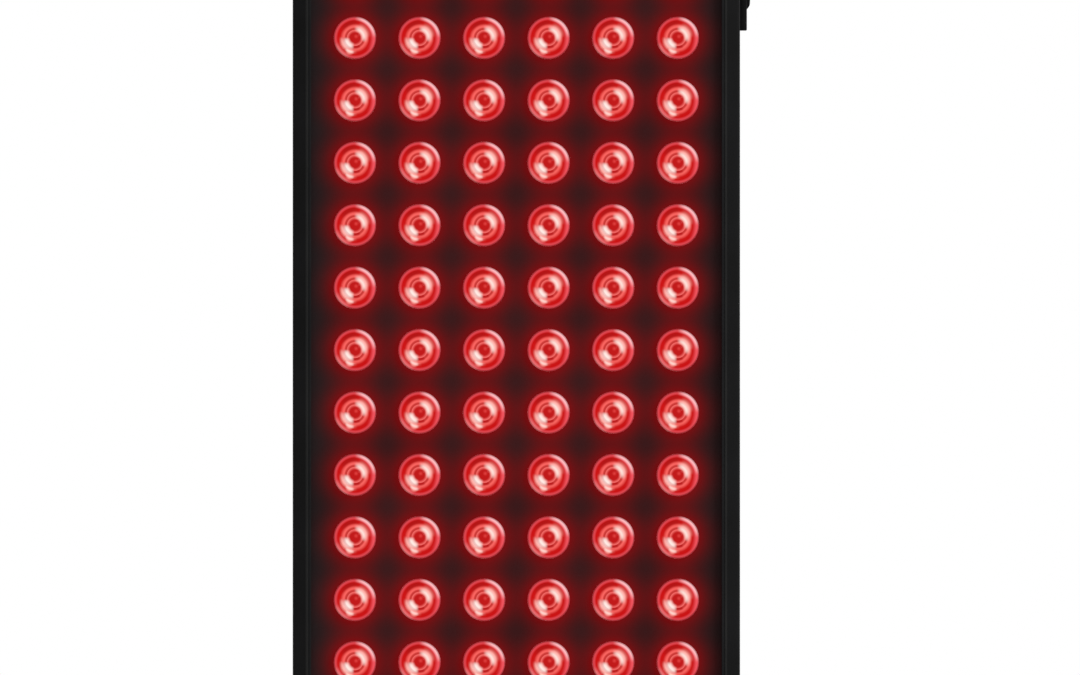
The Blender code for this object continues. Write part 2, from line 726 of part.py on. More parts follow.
def grille_loops(centre_z):
    """Arc slots in rings, in front of a fan's bore."""
    outer = FAN_BORE_RADIUS - GRILLE_BAR / 2
    pitch = (outer - FAN_HUB_RADIUS) / GRILLE_RING_COUNT
    loops = []
    for ring in range(GRILLE_RING_COUNT):
        low = FAN_HUB_RADIUS + ring * pitch + GRILLE_BAR
        high = FAN_HUB_RADIUS + (ring + 1) * pitch
        for spoke in range(GRILLE_SPOKE_COUNT):
            start = 2 * math.pi * (spoke + 0.5) / GRILLE_SPOKE_COUNT
            end = start + 2 * math.pi / GRILLE_SPOKE_COUNT
            edges = []
            for radius, ends in ((high, (start, end)), (low, (end, start))):
                inset = math.copysign(math.asin(GRILLE_SPOKE / 2 / radius), ends[1] - ends[0])
                edges += arc(radius, ends[0] + inset, ends[1] - inset, GRILLE_ARC_STEPS)
            loops.append([(x, y + centre_z) for x, y in edges])
    return loops


def intake_loops():
    """Two columns of level slots behind the drivers."""
    loops = []
    for row in range(INTAKE_ROW_COUNT):
        z = (row - (INTAKE_ROW_COUNT - 1) / 2) * INTAKE_PITCH
        for side in (-1, 1):
            x = side * (INTAKE_COLUMN_GAP + INTAKE_LENGTH) / 2
            half = INTAKE_LENGTH / 2
            loops.append(rectangle(x - half, x + half, z - INTAKE_WIDTH / 2, z + INTAKE_WIDTH / 2))
    return loops


def make_back_cover():
    """Sheet that closes the back, inside the frame and on its rear flange."""
    inset = RAIL_WALL + FIT_GAP
    half_width = BODY_WIDTH / 2 - inset
    half_height = BODY_HEIGHT / 2 - inset
    loops = [rectangle(-half_width, half_width, -half_height, half_height)]
    for end in (-1, 1):
        loops += grille_loops(end * FAN_OFFSET)
    loops += intake_loops()
    curve = outline_curve("back_cover", loops, COVER_THICKNESS)
    place = (0, (COVER_FRONT + REAR_Y) / 2, CENTRE_Z)
    add_part("back_cover", curve, "black powder coat", place, FACING_FRONT)


# Drivers


def make_driver(name, side):
    """LED driver: a case with a fixing tab at each end, flat on the carrier plate."""
    half = DRIVER_LENGTH / 2
    tab_end = half + DRIVER_TAB
    tab_back = MOUNTED_FRONT + DRIVER_TAB_THICKNESS
    case_back = MOUNTED_FRONT + DRIVER_HEIGHT
    loop = [
        (MOUNTED_FRONT, -tab_end),
        (tab_back, -tab_end),
        (tab_back, -half),
        (case_back, -half),
        (case_back, half),
        (tab_back, half),
        (tab_back, tab_end),
        (MOUNTED_FRONT, tab_end),
    ]
    curve = outline_curve(name, [loop], DRIVER_WIDTH)
    add_part(name, curve, "driver case", (side * DRIVER_X, 0, CENTRE_Z), FACING_SIDE)


# Power switch


def make_switch():
    """Rocker switch snapped into the right rail: body, rocker and two blade terminals."""
    body_half = (WINDOW_HALF_WIDTH + SWITCH_WALL, WINDOW_HALF_LENGTH + SWITCH_WALL)
    bezel = (
        BEZEL_THICKNESS,
        2 * (body_half[0] + BEZEL_OVERHANG),
        2 * (body_half[1] + BEZEL_OVERHANG),
    )
    body_length = BEZEL_FACE - SWITCH_BACK - JOIN_OVERLAP
    middle = (0, FITTINGS_Y, SWITCH_Z)
    bezel_mesh = box_mesh("switch_body", bezel, (BEZEL_FACE - BEZEL_THICKNESS / 2, 0, 0))
    body = add_part("switch_body", bezel_mesh, "black plastic", middle)
    barrel = box_mesh(
        "switch_barrel",
        (body_length, 2 * body_half[0], 2 * body_half[1]),
        (SWITCH_BACK + body_length / 2, 0, 0),
    )
    boolean(body, add_guide("switch_barrel", barrel, middle), "UNION")
    well_depth = BEZEL_FACE + CUT_OVERRUN - WELL_FLOOR
    well = box_mesh(
        "switch_well",
        (well_depth, 2 * WINDOW_HALF_WIDTH, 2 * WINDOW_HALF_LENGTH),
        (WELL_FLOOR + well_depth / 2, 0, 0),
    )
    boolean(body, add_guide("switch_well", well, middle), "DIFFERENCE")
    hole_length = 2 * (body_half[0] + BEZEL_OVERHANG + CUT_OVERRUN)
    hole = cylinder_mesh("pivot_hole", round_hole(PIVOT_RADIUS, PIVOT_SIDES), hole_length, PIVOT_SIDES, "Y")
    boolean(body, add_guide("pivot_hole", hole, (PIVOT_X, FITTINGS_Y, SWITCH_Z)), "DIFFERENCE")
    make_rocker(body_half[0])
    for name, end in (("upper", 1), ("lower", -1)):
        make_switch_terminal(f"switch_{name}_terminal", end, body)


def make_rocker(pivot_reach):
    """Rocker with a valley across the middle of its face, on pivots in the walls of the switch body."""
    half = ROCKER_HALF_LENGTH
    valley = half * ROCKER_VALLEY_SHARE
    loop = [
        (ROCKER_VALLEY_RISE, 0),
        (ROCKER_RISE, valley),
        (ROCKER_RISE, half),
        (-ROCKER_TIP_DROP, half),
        (-ROCKER_BELLY, 0),
        (-ROCKER_TIP_DROP, -half),
        (ROCKER_RISE, -half),
        (ROCKER_RISE, -valley),
    ]
    place = (PIVOT_X, FITTINGS_Y, SWITCH_Z)
    tilt = math.radians(ROCKER_TILT_DEG)
    turned = [
        (x * math.cos(tilt) + z * math.sin(tilt), z * math.cos(tilt) - x * math.sin(tilt)) for x, z in loop
    ]
    mesh = outline_mesh("switch_rocker", [turned], ROCKER_WIDTH)
    rocker = add_part("switch_rocker", mesh, "black plastic", place, FACING_FRONT)
    pin = cylinder_mesh("rocker_pivot", PIVOT_RADIUS, 2 * pivot_reach, PIVOT_SIDES, "Y")
    boolean(rocker, add_guide("rocker_pivot", pin, place), "UNION")


def make_switch_terminal(name, end, body):
    """Blade terminal seated in a slot in the back of the switch body."""
    z = SWITCH_Z + end * BLADE_TERMINAL_SPACING / 2
    slot = box_mesh(
        f"{name}_slot",
        (
            2 * (BLADE_TERMINAL_SEAT + FIT_GAP),
            BLADE_TERMINAL_WIDTH + 2 * FIT_GAP,
            BLADE_TERMINAL_THICKNESS + 2 * FIT_GAP,
        ),
    )
    boolean(body, add_guide(f"{name}_slot", slot, (SWITCH_BACK, FITTINGS_Y, z)), "DIFFERENCE")
    length = BLADE_TERMINAL_SEAT + BLADE_TERMINAL_TAIL
    blade = box_mesh(name, (length, BLADE_TERMINAL_WIDTH, BLADE_TERMINAL_THICKNESS))
    add_part(name, blade, "brass", (SWITCH_BACK + BLADE_TERMINAL_SEAT - length / 2, FITTINGS_Y, z))


# Mains inlet


def socket_outline():
    """Cold-appliance socket: a rectangle with two clipped corners at the bottom."""
    half_width = SOCKET_WIDTH / 2
    half_height = SOCKET_HEIGHT / 2
    return [
        (-half_width, half_height),
        (half_width, half_height),
        (half_width, SOCKET_CORNER - half_height),
        (half_width - SOCKET_CORNER, -half_height),
        (SOCKET_CORNER - half_width, -half_height),
        (-half_width, SOCKET_CORNER - half_height),
    ]


def make_inlet():
    """Inlet snapped into the right rail: housing, three pins, and the drawer with its fuse."""
    flange = box_mesh(
        "mains_inlet",
        (INLET_FLANGE, INLET_BODY_WIDTH + 2 * INLET_OVERHANG, INLET_BODY_HEIGHT + 2 * INLET_OVERHANG),
        (INLET_FACE - INLET_FLANGE / 2, 0, 0),
    )
    middle = (0, FITTINGS_Y, INLET_Z)
    housing = add_part("mains_inlet", flange, "black plastic", middle)
    length = INLET_FACE - JOIN_OVERLAP - INLET_BACK
    block = box_mesh(
        "inlet_block", (length, INLET_BODY_WIDTH, INLET_BODY_HEIGHT), (INLET_BACK + length / 2, 0, 0)
    )
    boolean(housing, add_guide("inlet_block", block, middle), "UNION")
    socket_depth = SOCKET_DEPTH + CUT_OVERRUN
    socket = outline_mesh("inlet_socket", [socket_outline()], socket_depth)
    socket_place = (INLET_FACE - SOCKET_DEPTH + socket_depth / 2, FITTINGS_Y, SOCKET_Z)
    boolean(housing, add_guide("inlet_socket", socket, socket_place, FACING_SIDE), "DIFFERENCE")
    slot_depth = DRAWER_DEPTH + FIT_GAP + CUT_OVERRUN
    slot = box_mesh("drawer_slot", (slot_depth, DRAWER_SLOT_WIDTH, DRAWER_SLOT_HEIGHT))
    slot_place = (INLET_FACE + CUT_OVERRUN - slot_depth / 2, FITTINGS_Y, DRAWER_Z)
    boolean(housing, add_guide("drawer_slot", slot, slot_place), "DIFFERENCE")
    for name, across, up in (("live", 1, -1), ("neutral", -1, -1), ("earth", 0, 1)):
        make_inlet_pin(name, across * PIN_SPACING, up * EARTH_PIN_OFFSET / 2, housing)
    make_fuse_drawer()


def make_inlet_pin(name, across, up, housing):
    """Contact pin through the floor of the socket, with a tail behind it."""
    front = INLET_FACE - SOCKET_DEPTH + PIN_REACH
    back = INLET_BACK - PIN_TAIL
    place = (0, FITTINGS_Y + across, SOCKET_Z + up)
    hole_size = (2 * PIN_REACH, PIN_THICKNESS + 2 * FIT_GAP, PIN_WIDTH + 2 * FIT_GAP)
    hole = box_mesh(f"inlet_{name}_hole", hole_size, (INLET_BACK, 0, 0))
    boolean(housing, add_guide(f"inlet_{name}_hole", hole, place), "DIFFERENCE")
    size = (front - back, PIN_THICKNESS, PIN_WIDTH)
    pin = box_mesh(f"inlet_{name}_pin", size, ((front + back) / 2, 0, 0))
    add_part(f"inlet_{name}_pin", pin, "brass", place)


def make_fuse_drawer():
    """Drawer that pulls out of the inlet, with a glass fuse across it."""
    place = (INLET_FACE, FITTINGS_Y, DRAWER_Z)
    tray = box_mesh("fuse_drawer", (DRAWER_DEPTH, DRAWER_WIDTH, DRAWER_HEIGHT), (-DRAWER_DEPTH / 2, 0, 0))
    drawer = add_part("fuse_drawer", tray, "black plastic", place)
    front_size = (DRAWER_FRONT, DRAWER_SLOT_WIDTH + INLET_WALL, DRAWER_SLOT_HEIGHT + INLET_WALL)
    front = box_mesh("drawer_front", front_size, (FIT_GAP + DRAWER_FRONT / 2, 0, 0))
    neck_size = (FIT_GAP + 2 * JOIN_OVERLAP, DRAWER_WIDTH - JOIN_OVERLAP, DRAWER_HEIGHT - JOIN_OVERLAP)
    neck = box_mesh("drawer_neck", neck_size, (FIT_GAP / 2, 0, 0))
    boolean(drawer, add_guide("drawer_neck", neck, place), "UNION")
    boolean(drawer, add_guide("drawer_front", front, place), "UNION")
    pocket_size = (2 * (FUSE_RADIUS + FIT_GAP), FUSE_LENGTH + 2 * FIT_GAP, DRAWER_HEIGHT)
    pocket = box_mesh("fuse_pocket", pocket_size, (-DRAWER_DEPTH / 2, 0, DRAWER_WALL))
    boolean(drawer, add_guide("fuse_pocket", pocket, place), "DIFFERENCE")
    fuse = cylinder_mesh("fuse", FUSE_RADIUS, FUSE_LENGTH, FUSE_SIDES, "Y")
    smooth(fuse)
    fuse_z = DRAWER_Z - DRAWER_HEIGHT / 2 + DRAWER_WALL + FIT_GAP + FUSE_RADIUS
    add_part("fuse", fuse, "fuse glass", (INLET_FACE - DRAWER_DEPTH / 2, FITTINGS_Y, fuse_z))


# Hanging eyes and feet


def make_hanging_eye(side_name, side):
    """Eye bolt through the top rail, and the nut that holds it from inside."""
    x = side * EYE_SPACING / 2
    seat = BODY_TOP + FIT_GAP
    shank = FIT_GAP + RAIL_WALL + FIT_GAP + EYE_NUT_HEIGHT + EYE_THREAD_SPARE
    profile = [
        (0, EYE_COLLAR_HEIGHT),
        (EYE_COLLAR_RADIUS, EYE_COLLAR_HEIGHT),
        (EYE_COLLAR_RADIUS, 0),
        (EYE_SHANK_RADIUS, 0),
        (EYE_SHANK_RADIUS, -shank),
        (0, -shank),
    ]
    name = f"{side_name}_hanging_eye"
    eye = turned_piece(name, profile, EYE_SHANK_SIDES, "steel", (x, 0, seat))
    bpy.ops.mesh.primitive_torus_add(
        major_segments=EYE_RING_STEPS,
        minor_segments=6,
        major_radius=EYE_RING_RADIUS,
        minor_radius=EYE_WIRE_RADIUS,
    )
    ring = bpy.context.object
    ring_mesh = ring.data
    bpy.data.objects.remove(ring, do_unlink=True)
    ring_z = seat + EYE_COLLAR_HEIGHT + EYE_RING_RADIUS + EYE_WIRE_RADIUS - JOIN_OVERLAP
    boolean(eye, add_guide(f"{name}_ring", ring_mesh, (x, 0, ring_z), FACING_FRONT), "UNION")
    loops = [
        circle(EYE_NUT_RADIUS, 6),
        circle(round_hole(EYE_SHANK_RADIUS, EYE_SHANK_SIDES), EYE_SHANK_SIDES),
    ]
    nut_z = BODY_TOP - RAIL_WALL - FIT_GAP - EYE_NUT_HEIGHT / 2
    add_part(f"{side_name}_eye_nut", outline_curve("eye_nut", loops, EYE_NUT_HEIGHT), "steel", (x, 0, nut_z))


def make_feet():
    """Rubber feet under the corners of the bottom rail."""
    profile = [(0, FOOT_HEIGHT), (FOOT_TOP_RADIUS, FOOT_HEIGHT), (FOOT_SOLE_RADIUS, 0), (0, 0)]
    x = BODY_WIDTH / 2 - FOOT_INSET
    y = BODY_DEPTH / 2 - LIP_THICKNESS - FOOT_TOP_RADIUS - FOOT_EDGE_ROOM
    for depth_name, depth in (("front", -1), ("rear", 1)):
        for side_name, side in (("left", -1), ("right", 1)):
            name = f"foot_{depth_name}_{side_name}"
            turned_piece(name, profile, FOOT_SIDES, "rubber", (side * x, depth * y, 0))


# Leads


def spline_point(points, position):
    """Point on a smooth curve through a route's points, at a position counted in points."""
    index = min(int(position), len(points) - 2)
    before = points[max(index - 1, 0)]
    start = points[index]
    end = points[index + 1]
    after = points[min(index + 2, len(points) - 1)]
    t = position - index
    return 0.5 * (
        2 * start
        + (end - before) * t
        + (2 * before - 5 * start + 4 * end - after) * t**2
        + (3 * start - before - 3 * end + after) * t**3
    )


def make_lead(name, finish, route):
    """Insulated lead along a smooth curve through its route, straight where it leaves each end."""
    points = [Vector(point) for point in route]
    start, end = points[0], points[-1]
    points[0] = start + (points[1] - start).normalized() * 2 * LEAD_RADIUS
    points[-1] = end + (points[-2] - end).normalized() * 2 * LEAD_RADIUS
    steps = LEAD_STEPS_PER_POINT * (len(points) - 1)
    path = [start]
    for index in range(steps + 1):
        path.append(spline_point(points, index / LEAD_STEPS_PER_POINT))
    path.append(end)
    curve = bpy.data.curves.new(name, "CURVE")
    curve.dimensions = "3D"
    curve.bevel_depth = LEAD_RADIUS
    curve.bevel_resolution = 1
    curve.use_fill_caps = True
    spline = curve.splines.new("POLY")
    spline.points.add(len(path) - 1)
    for target, point in zip(spline.points, path):
        target.co = (*point, 1)
    add_part(name, curve, finish)


def make_mains_leads():
    """Leads from the inlet and the switch to each other, to the drivers and to earth."""
    bend = LEAD_BEND
    pin_end = INLET_BACK - PIN_TAIL - FIT_GAP
    pin_z = SOCKET_Z - EARTH_PIN_OFFSET / 2
    terminal_x = SWITCH_BACK - BLADE_TERMINAL_TAIL / 2
    terminal_rise = (BLADE_TERMINAL_SPACING + BLADE_TERMINAL_THICKNESS) / 2 + FIT_GAP
    driver_top = CENTRE_Z + DRIVER_LENGTH / 2 + FIT_GAP
    turn_z = driver_top + bend
    corridor = (pin_end + SINK_HALF_WIDTH) / 2
    live_y = FITTINGS_Y + PIN_SPACING
    neutral_y = FITTINGS_Y - PIN_SPACING
    live_route = [
        (pin_end, live_y, pin_z),
        (pin_end - bend, live_y, pin_z),
        (corridor, (live_y + FITTINGS_Y) / 2, (pin_z + SWITCH_Z + terminal_rise) / 2),
        (terminal_x, FITTINGS_Y, SWITCH_Z + terminal_rise + bend),
        (terminal_x, FITTINGS_Y, SWITCH_Z + terminal_rise),
    ]
    switched_route = [
        (terminal_x, FITTINGS_Y, SWITCH_Z - terminal_rise),
        (terminal_x, FITTINGS_Y, SWITCH_Z - terminal_rise - bend),
        (corridor + bend / 2, FITTINGS_Y, SWITCH_Z - 4 * bend),
        (corridor + bend / 2, DRIVER_MID_Y, turn_z + 2 * bend),
        (corridor - 2 * bend, DRIVER_MID_Y, turn_z),
        (DRIVER_X + 2 * bend, DRIVER_MID_Y, turn_z),
        (DRIVER_X + bend, DRIVER_MID_Y, driver_top + bend / 2),
        (DRIVER_X + bend, DRIVER_MID_Y, driver_top),
    ]
    neutral_route = [
        (pin_end, neutral_y, pin_z),
        (pin_end - bend, neutral_y, pin_z),
        (corridor - bend / 2, neutral_y, pin_z - 2 * bend),
        (corridor - bend / 2, DRIVER_MID_Y + 2 * bend, turn_z + 4 * bend),
        (corridor - 3 * bend, DRIVER_MID_Y + 2 * bend, turn_z),
        (-DRIVER_X + 4 * bend, DRIVER_MID_Y + 2 * bend, turn_z),
        (-DRIVER_X + bend, DRIVER_MID_Y, driver_top + bend),
        (-DRIVER_X + bend, DRIVER_MID_Y, driver_top),
    ]
    earth_z = SOCKET_Z + EARTH_PIN_OFFSET / 2
    earth_route = [
        (pin_end, FITTINGS_Y, earth_z),
        (pin_end - bend / 2, FITTINGS_Y, earth_z),
        (pin_end - bend, FITTINGS_Y - bend, earth_z),
        (pin_end - bend, PLATE_BACK + bend, earth_z),
        (pin_end - bend, PLATE_BACK + FIT_GAP, earth_z),
    ]
    make_lead("live_lead", "brown lead", live_route)
    make_lead("switched_lead", "brown lead", switched_route)
    make_lead("neutral_lead", "blue lead", neutral_route)
    make_lead("earth_lead", "green lead", earth_route)


def make_led_lead(side_name, side):
    """Lead from a driver, through the carrier plate, to the front of the LED board beside it."""
    driver_end = CENTRE_Z - DRIVER_LENGTH / 2 - FIT_GAP
    hole_x = lead_hole_x()
    hole_z = CENTRE_Z - DRIVER_BAY_HALF
    pad_x = (COLUMN_COUNT - 1) * COLUMN_PITCH / 2 + BOARD_MARGIN - 2 * LEAD_RADIUS
    route = [
        (DRIVER_X + LEAD_BEND, DRIVER_MID_Y, driver_end),
        (DRIVER_X + LEAD_BEND, DRIVER_MID_Y, driver_end - LEAD_BEND / 2),
        (DRIVER_X + 2 * LEAD_BEND, DRIVER_MID_Y, hole_z),
        (hole_x - 2 * LEAD_BEND, DRIVER_MID_Y, hole_z),
        (hole_x, PLATE_BACK + LEAD_BEND, hole_z),
        (hole_x, BOARD_FRONT, hole_z),
        ((hole_x + pad_x) / 2, BOARD_FRONT - LEAD_BEND, hole_z),
        (pad_x, BOARD_FRONT - LEAD_BEND / 2, hole_z),
        (pad_x, BOARD_FRONT - FIT_GAP, hole_z),
    ]
    make_lead(f"{side_name}_led_lead", "red lead", [(side * x, y, z) for x, y, z in route])


def make_fan_lead(name, end):
    """Lead from a fan's frame to the driver on its side: the upper fan to the right, the lower to the left."""
    fan_edge = FAN_OFFSET - FAN_SIZE / 2 - FIT_GAP
    driver_end = DRIVER_LENGTH / 2 + FIT_GAP
    fan_y = (FAN_FRONT + FAN_BACK) / 2
    route = [
        (DRIVER_X, fan_y, fan_edge),
        (DRIVER_X, fan_y, fan_edge - LEAD_BEND),
        (DRIVER_X - LEAD_BEND, DRIVER_MID_Y + LEAD_BEND, driver_end + 2 * LEAD_BEND),
        (DRIVER_X - LEAD_BEND, DRIVER_MID_Y, driver_end + LEAD_BEND / 2),
        (DRIVER_X - LEAD_BEND, DRIVER_MID_Y, driver_end),
    ]
    make_lead(f"{name}_fan_lead", "red lead", [(end * x, y, CENTRE_Z + end * z) for x, y, z in route])


def build_panel():
    """Make every piece of the panel."""
    make_frame()
    make_front_panel()
    for index in range(MODULE_COUNT):
        make_led_module(index)
    make_carrier_plate()
    make_back_cover()
    for name, end in (("upper", 1), ("lower", -1)):
        make_heat_sink(f"{name}_heat_sink", end)
        make_fan_frame(f"{name}_fan_frame", end)
        make_fan_rotor(f"{name}_fan_rotor", end)
        make_fan_lead(name, end)
    for name, side in (("left", -1), ("right", 1)):
        make_driver(f"{name}_driver", side)
        make_led_lead(name, side)
        make_hanging_eye(name, side)
    make_switch()
    make_inlet()
    make_feet()
    make_mains_leads()


clear_scene()
PANEL = make_collection("red_light_therapy_panel")
CUTTERS = make_collection("cutters")
build_panel()
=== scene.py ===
"""Looks of the red light therapy panel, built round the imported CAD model.

Metres, +Z up. The lit face looks towards -Y and right is +X. Sizes are those of the CAD model, and of
finer forms that it leaves out.
"""

import math

import bmesh
import bpy
from mathutils import Matrix, Vector


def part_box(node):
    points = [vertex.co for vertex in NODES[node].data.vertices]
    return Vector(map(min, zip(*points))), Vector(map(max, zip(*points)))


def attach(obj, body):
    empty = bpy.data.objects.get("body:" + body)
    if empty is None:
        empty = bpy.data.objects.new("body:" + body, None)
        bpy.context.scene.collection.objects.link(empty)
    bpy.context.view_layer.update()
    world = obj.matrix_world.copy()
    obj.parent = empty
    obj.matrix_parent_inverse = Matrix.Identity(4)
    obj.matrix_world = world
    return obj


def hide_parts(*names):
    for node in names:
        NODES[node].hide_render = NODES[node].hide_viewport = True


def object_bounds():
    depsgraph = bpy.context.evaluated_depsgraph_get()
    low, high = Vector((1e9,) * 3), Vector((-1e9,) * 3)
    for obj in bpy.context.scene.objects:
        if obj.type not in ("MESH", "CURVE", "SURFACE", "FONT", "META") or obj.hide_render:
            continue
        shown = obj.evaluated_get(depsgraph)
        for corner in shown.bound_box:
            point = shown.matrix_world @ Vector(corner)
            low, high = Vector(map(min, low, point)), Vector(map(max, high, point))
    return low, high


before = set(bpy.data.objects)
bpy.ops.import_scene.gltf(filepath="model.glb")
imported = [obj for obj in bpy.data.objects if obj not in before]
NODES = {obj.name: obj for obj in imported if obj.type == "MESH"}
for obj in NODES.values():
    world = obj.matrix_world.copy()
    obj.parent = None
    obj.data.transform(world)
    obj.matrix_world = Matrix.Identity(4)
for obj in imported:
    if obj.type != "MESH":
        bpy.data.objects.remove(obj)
cad_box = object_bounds()

# The picture
PICTURE_WIDTH = 0.5067
PICTURE_RIGHT = 0.0111
PICTURE_UP = 0.0059
FOCAL_LENGTH_MM = 1000
SENSOR_WIDTH_MM = 36
CLIP_END = 60

# Light
AMBIENT_LEVEL = 0.26
KEY_PLACE = (4.5, -2.1, 3.6)
KEY_SIZE = 2.6
KEY_POWER = 320
BACK_PLACE = (-3.0, 4.0, 3.2)
BACK_SIZE = 2.6
BACK_POWER = 210
FLOOR_SIZE = 14
FLOOR_COLOUR = (0.80, 0.80, 0.79)

# Lens grid and boards
COLUMN_COUNT = 6
ROW_COUNT = 15
ROWS_PER_MODULE = 3
COLUMN_PITCH = 0.0303
ROW_PITCH = 0.0293
LENS_RADIUS = 0.0099
LENS_STEPS = 36
BOARD_THICKNESS = 0.0016
LENS_HOLE_ROOM = 0.0001
BOARD_GAP = 0.0005
BOARD_CORNER = 0.0020
BOARD_HOLE_RADIUS = 0.0016

# Red light that the lenses throw on the face sheet, painted on it as emission
GLOW_REACH = 0.0106
GLOW_LEVEL = 0.42
FULL_GLOW = 0.42
GLOW_GREEN_SHARE = 0.006
GLOW_BLUE_SHARE = 0.011

# Millimetre, softened edges of thin and thick pieces, and distances at which points merge
MM = 0.001
THIN_EDGE = 0.0001
SHEET_EDGE = 0.00015
THICK_EDGE = 0.0005
MERGE_CLOSE = 1e-7
MERGE = 1e-6

# Fans and back cover
FAN_SIZE = 0.0800
FAN_CORNER_REACH = 0.0068
FAN_BORE_RADIUS = 0.0382
FAN_BORE_SIDES = 24
FAN_HUB_RADIUS = 0.0185
FAN_SCREW_SPACING = 0.0715
FAN_SCREW_HOLE = 0.0022
STRUT_COUNT = 4
STRUT_WIDTH = 0.0034
STRUT_DEPTH = 0.0030
STRUT_EDGE = 0.0004
STRUT_OVERLAP = 0.0006
BLADE_COUNT = 7
BLADE_THICKNESS = 0.0011
BLADE_SWEEP_DEG = 12
BLADE_CHORD_DEG = 38
BLADE_RISE = 0.0088
BLADE_CAMBER = 0.0011
BLADE_ROOT_SHARE = 0.92
BLADE_TIP_GAP = 0.00105
SHAFT_RADIUS = 0.0015
SHAFT_LENGTH = 0.0024
HUB_DISH_DEPTH = 0.0004
HUB_DISH_SHARES = (0.42, 0.46)
HUB_ROUND = 0.0016
GRILLE_RING_COUNT = 3
GRILLE_BAR = 0.0022
GRILLE_SPOKE = 0.0044
INTAKE_ROW_COUNT = 5
INTAKE_LENGTH = 0.0440
INTAKE_WIDTH = 0.0030
INTAKE_PITCH = 0.0085
INTAKE_COLUMN_GAP = 0.0200
COVER_CORNER = 0.0015

# Screws
COVER_SCREW_INSET = 0.0040
SCREW_HEAD_RADIUS = 0.0026
SCREW_HEAD_ROOM = 0.00015
CROSS_REACH = 0.0015
CROSS_HALF_WIDTH = 0.00032
FLUSH_HEAD_HEIGHT = 0.0007
FLUSH_HEAD_MIDDLE = -0.00037
FLUSH_HEAD_EDGE = 0.00008
PAN_HEAD_HEIGHT = 0.0014
PAN_HEAD_EDGE = 0.0002

# Switch, inlet, fuse, drivers and eyes
FITTINGS_Y = 0.00875
SWITCH_Z = 0.4000
BEZEL_FACE = 0.10840
BEZEL_BACK = 0.10498
WELL_FLOOR = 0.10155
SWITCH_BACK = 0.09155
PIVOT_X = 0.10575
BEZEL_SIZE = (0.0150, 0.0208)
BEZEL_CORNER = 0.0014
BEZEL_EDGE = 0.00045
BARREL_SIZE = (0.0138, 0.0196)
BARREL_CORNER = 0.0008
BARREL_OVERLAP = 0.0004
WINDOW_SIZE = (0.0120, 0.0178)
WINDOW_CORNER = 0.0006
ROCKER_HALF_LENGTH = 0.0081
ROCKER_WIDTH = 0.0114
ROCKER_TILT_DEG = 11
INLET_Z = 0.4343
INLET_FACE = 0.10775
INLET_BACK = 0.08845
FLANGE_SIZE = (0.0331, 0.0352)
FLANGE_THICKNESS = 0.0020
FLANGE_CORNER = 0.0035
BLOCK_SIZE = (0.0291, 0.0312)
BLOCK_CORNER = 0.0010
SOCKET_Z = 0.43935
SOCKET_WIDTH = 0.0245
SOCKET_HEIGHT = 0.0165
SOCKET_DEPTH = 0.0170
SOCKET_CUT = 0.0040
SOCKET_CORNER = 0.0016
DRAWER_Z = 0.4249
DRAWER_SLOT = (0.0240, 0.0078)
DRAWER_EDGE = 0.00025
RIDGE_SIZE = (0.0090, 0.0014)
RIDGE_RISE = 0.00055
RIDGE_CORNER = 0.0006
RIDGE_EDGE = 0.0003
FUSE_CAP_LENGTH = 0.0050
FUSE_CAP_EDGE = 0.0003
FUSE_ROOM = 0.00002
FUSE_TUBE_OVERLAP = 0.0010
FUSE_WIRE_RADIUS = 0.0001
DRIVER_TAB = 0.0080
DRIVER_TAB_THICKNESS = 0.0016
DRIVER_EDGE = 0.0006
EYE_RING_RADIUS = 0.0072
EYE_WIRE_RADIUS = 0.0021
EYE_RING_SINK = 0.0014
EYE_NUT_EDGE = 0.00035
THREAD_PITCH = 0.0008


def srgb(red, green, blue):
    """Colour as a picture shows it, from 0 to 255, made linear for a shader."""
    linear = []
    for value in (red, green, blue):
        share = value / 255
        linear.append(share / 12.92 if share <= 0.04045 else ((share + 0.055) / 1.055) ** 2.4)
    return (*linear, 1)


# Nodes


def add_node(tree, kind, **settings):
    """Add a shader node with its settings."""
    node = tree.nodes.new("ShaderNode" + kind)
    for name, value in settings.items():
        setattr(node, name, value)
    return node


def feed(tree, socket, value):
    """Join a socket to another node's output, or give it a plain value."""
    if isinstance(value, bpy.types.NodeSocket):
        tree.links.new(value, socket)
    else:
        socket.default_value = value


def calc(tree, operation, *values):
    """Math node."""
    node = add_node(tree, "Math", operation=operation)
    for socket, value in zip(node.inputs, values):
        feed(tree, socket, value)
    return node.outputs[0]


def ease(tree, value, start, end, low=0.0, high=1.0):
    """From low at start to high at end, smooth between them. Start may be the larger."""
    node = add_node(tree, "MapRange", interpolation_type="SMOOTHSTEP")
    for socket, setting in zip(node.inputs, (value, start, end, low, high)):
        feed(tree, socket, setting)
    return node.outputs[0]


def blend(tree, amount, first, second):
    """Mix of two colours."""
    node = add_node(tree, "Mix", data_type="RGBA")
    feed(tree, node.inputs[0], amount)
    feed(tree, node.inputs[6], first)
    feed(tree, node.inputs[7], second)
    return node.outputs[2]


def noise(tree, position, scale, detail=2.0):
    """Noise value at a position."""
    node = add_node(tree, "TexNoise")
    feed(tree, node.inputs["Vector"], position)
    feed(tree, node.inputs["Scale"], scale)
    feed(tree, node.inputs["Detail"], detail)
    return node.outputs[0]


def make_group(name, inputs, outputs):
    """Shader node group with named sockets. Returns the tree, its inputs and its output node."""
    tree = bpy.data.node_groups.new(name, "ShaderNodeTree")
    for label, kind, value in inputs:
        socket = tree.interface.new_socket(label, in_out="INPUT", socket_type=kind)
        if value is not None:
            socket.default_value = value
    for label, kind in outputs:
        tree.interface.new_socket(label, in_out="OUTPUT", socket_type=kind)
    entry = tree.nodes.new("NodeGroupInput")
    return tree, entry.outputs, tree.nodes.new("NodeGroupOutput")


def place_group(tree, group, **values):
    """Put a node group in a tree and feed its inputs, named with underscores for spaces."""
    node = add_node(tree, "Group", node_tree=group)
    for name, value in values.items():
        feed(tree, node.inputs[name.replace("_", " ")], value)
    return node.outputs


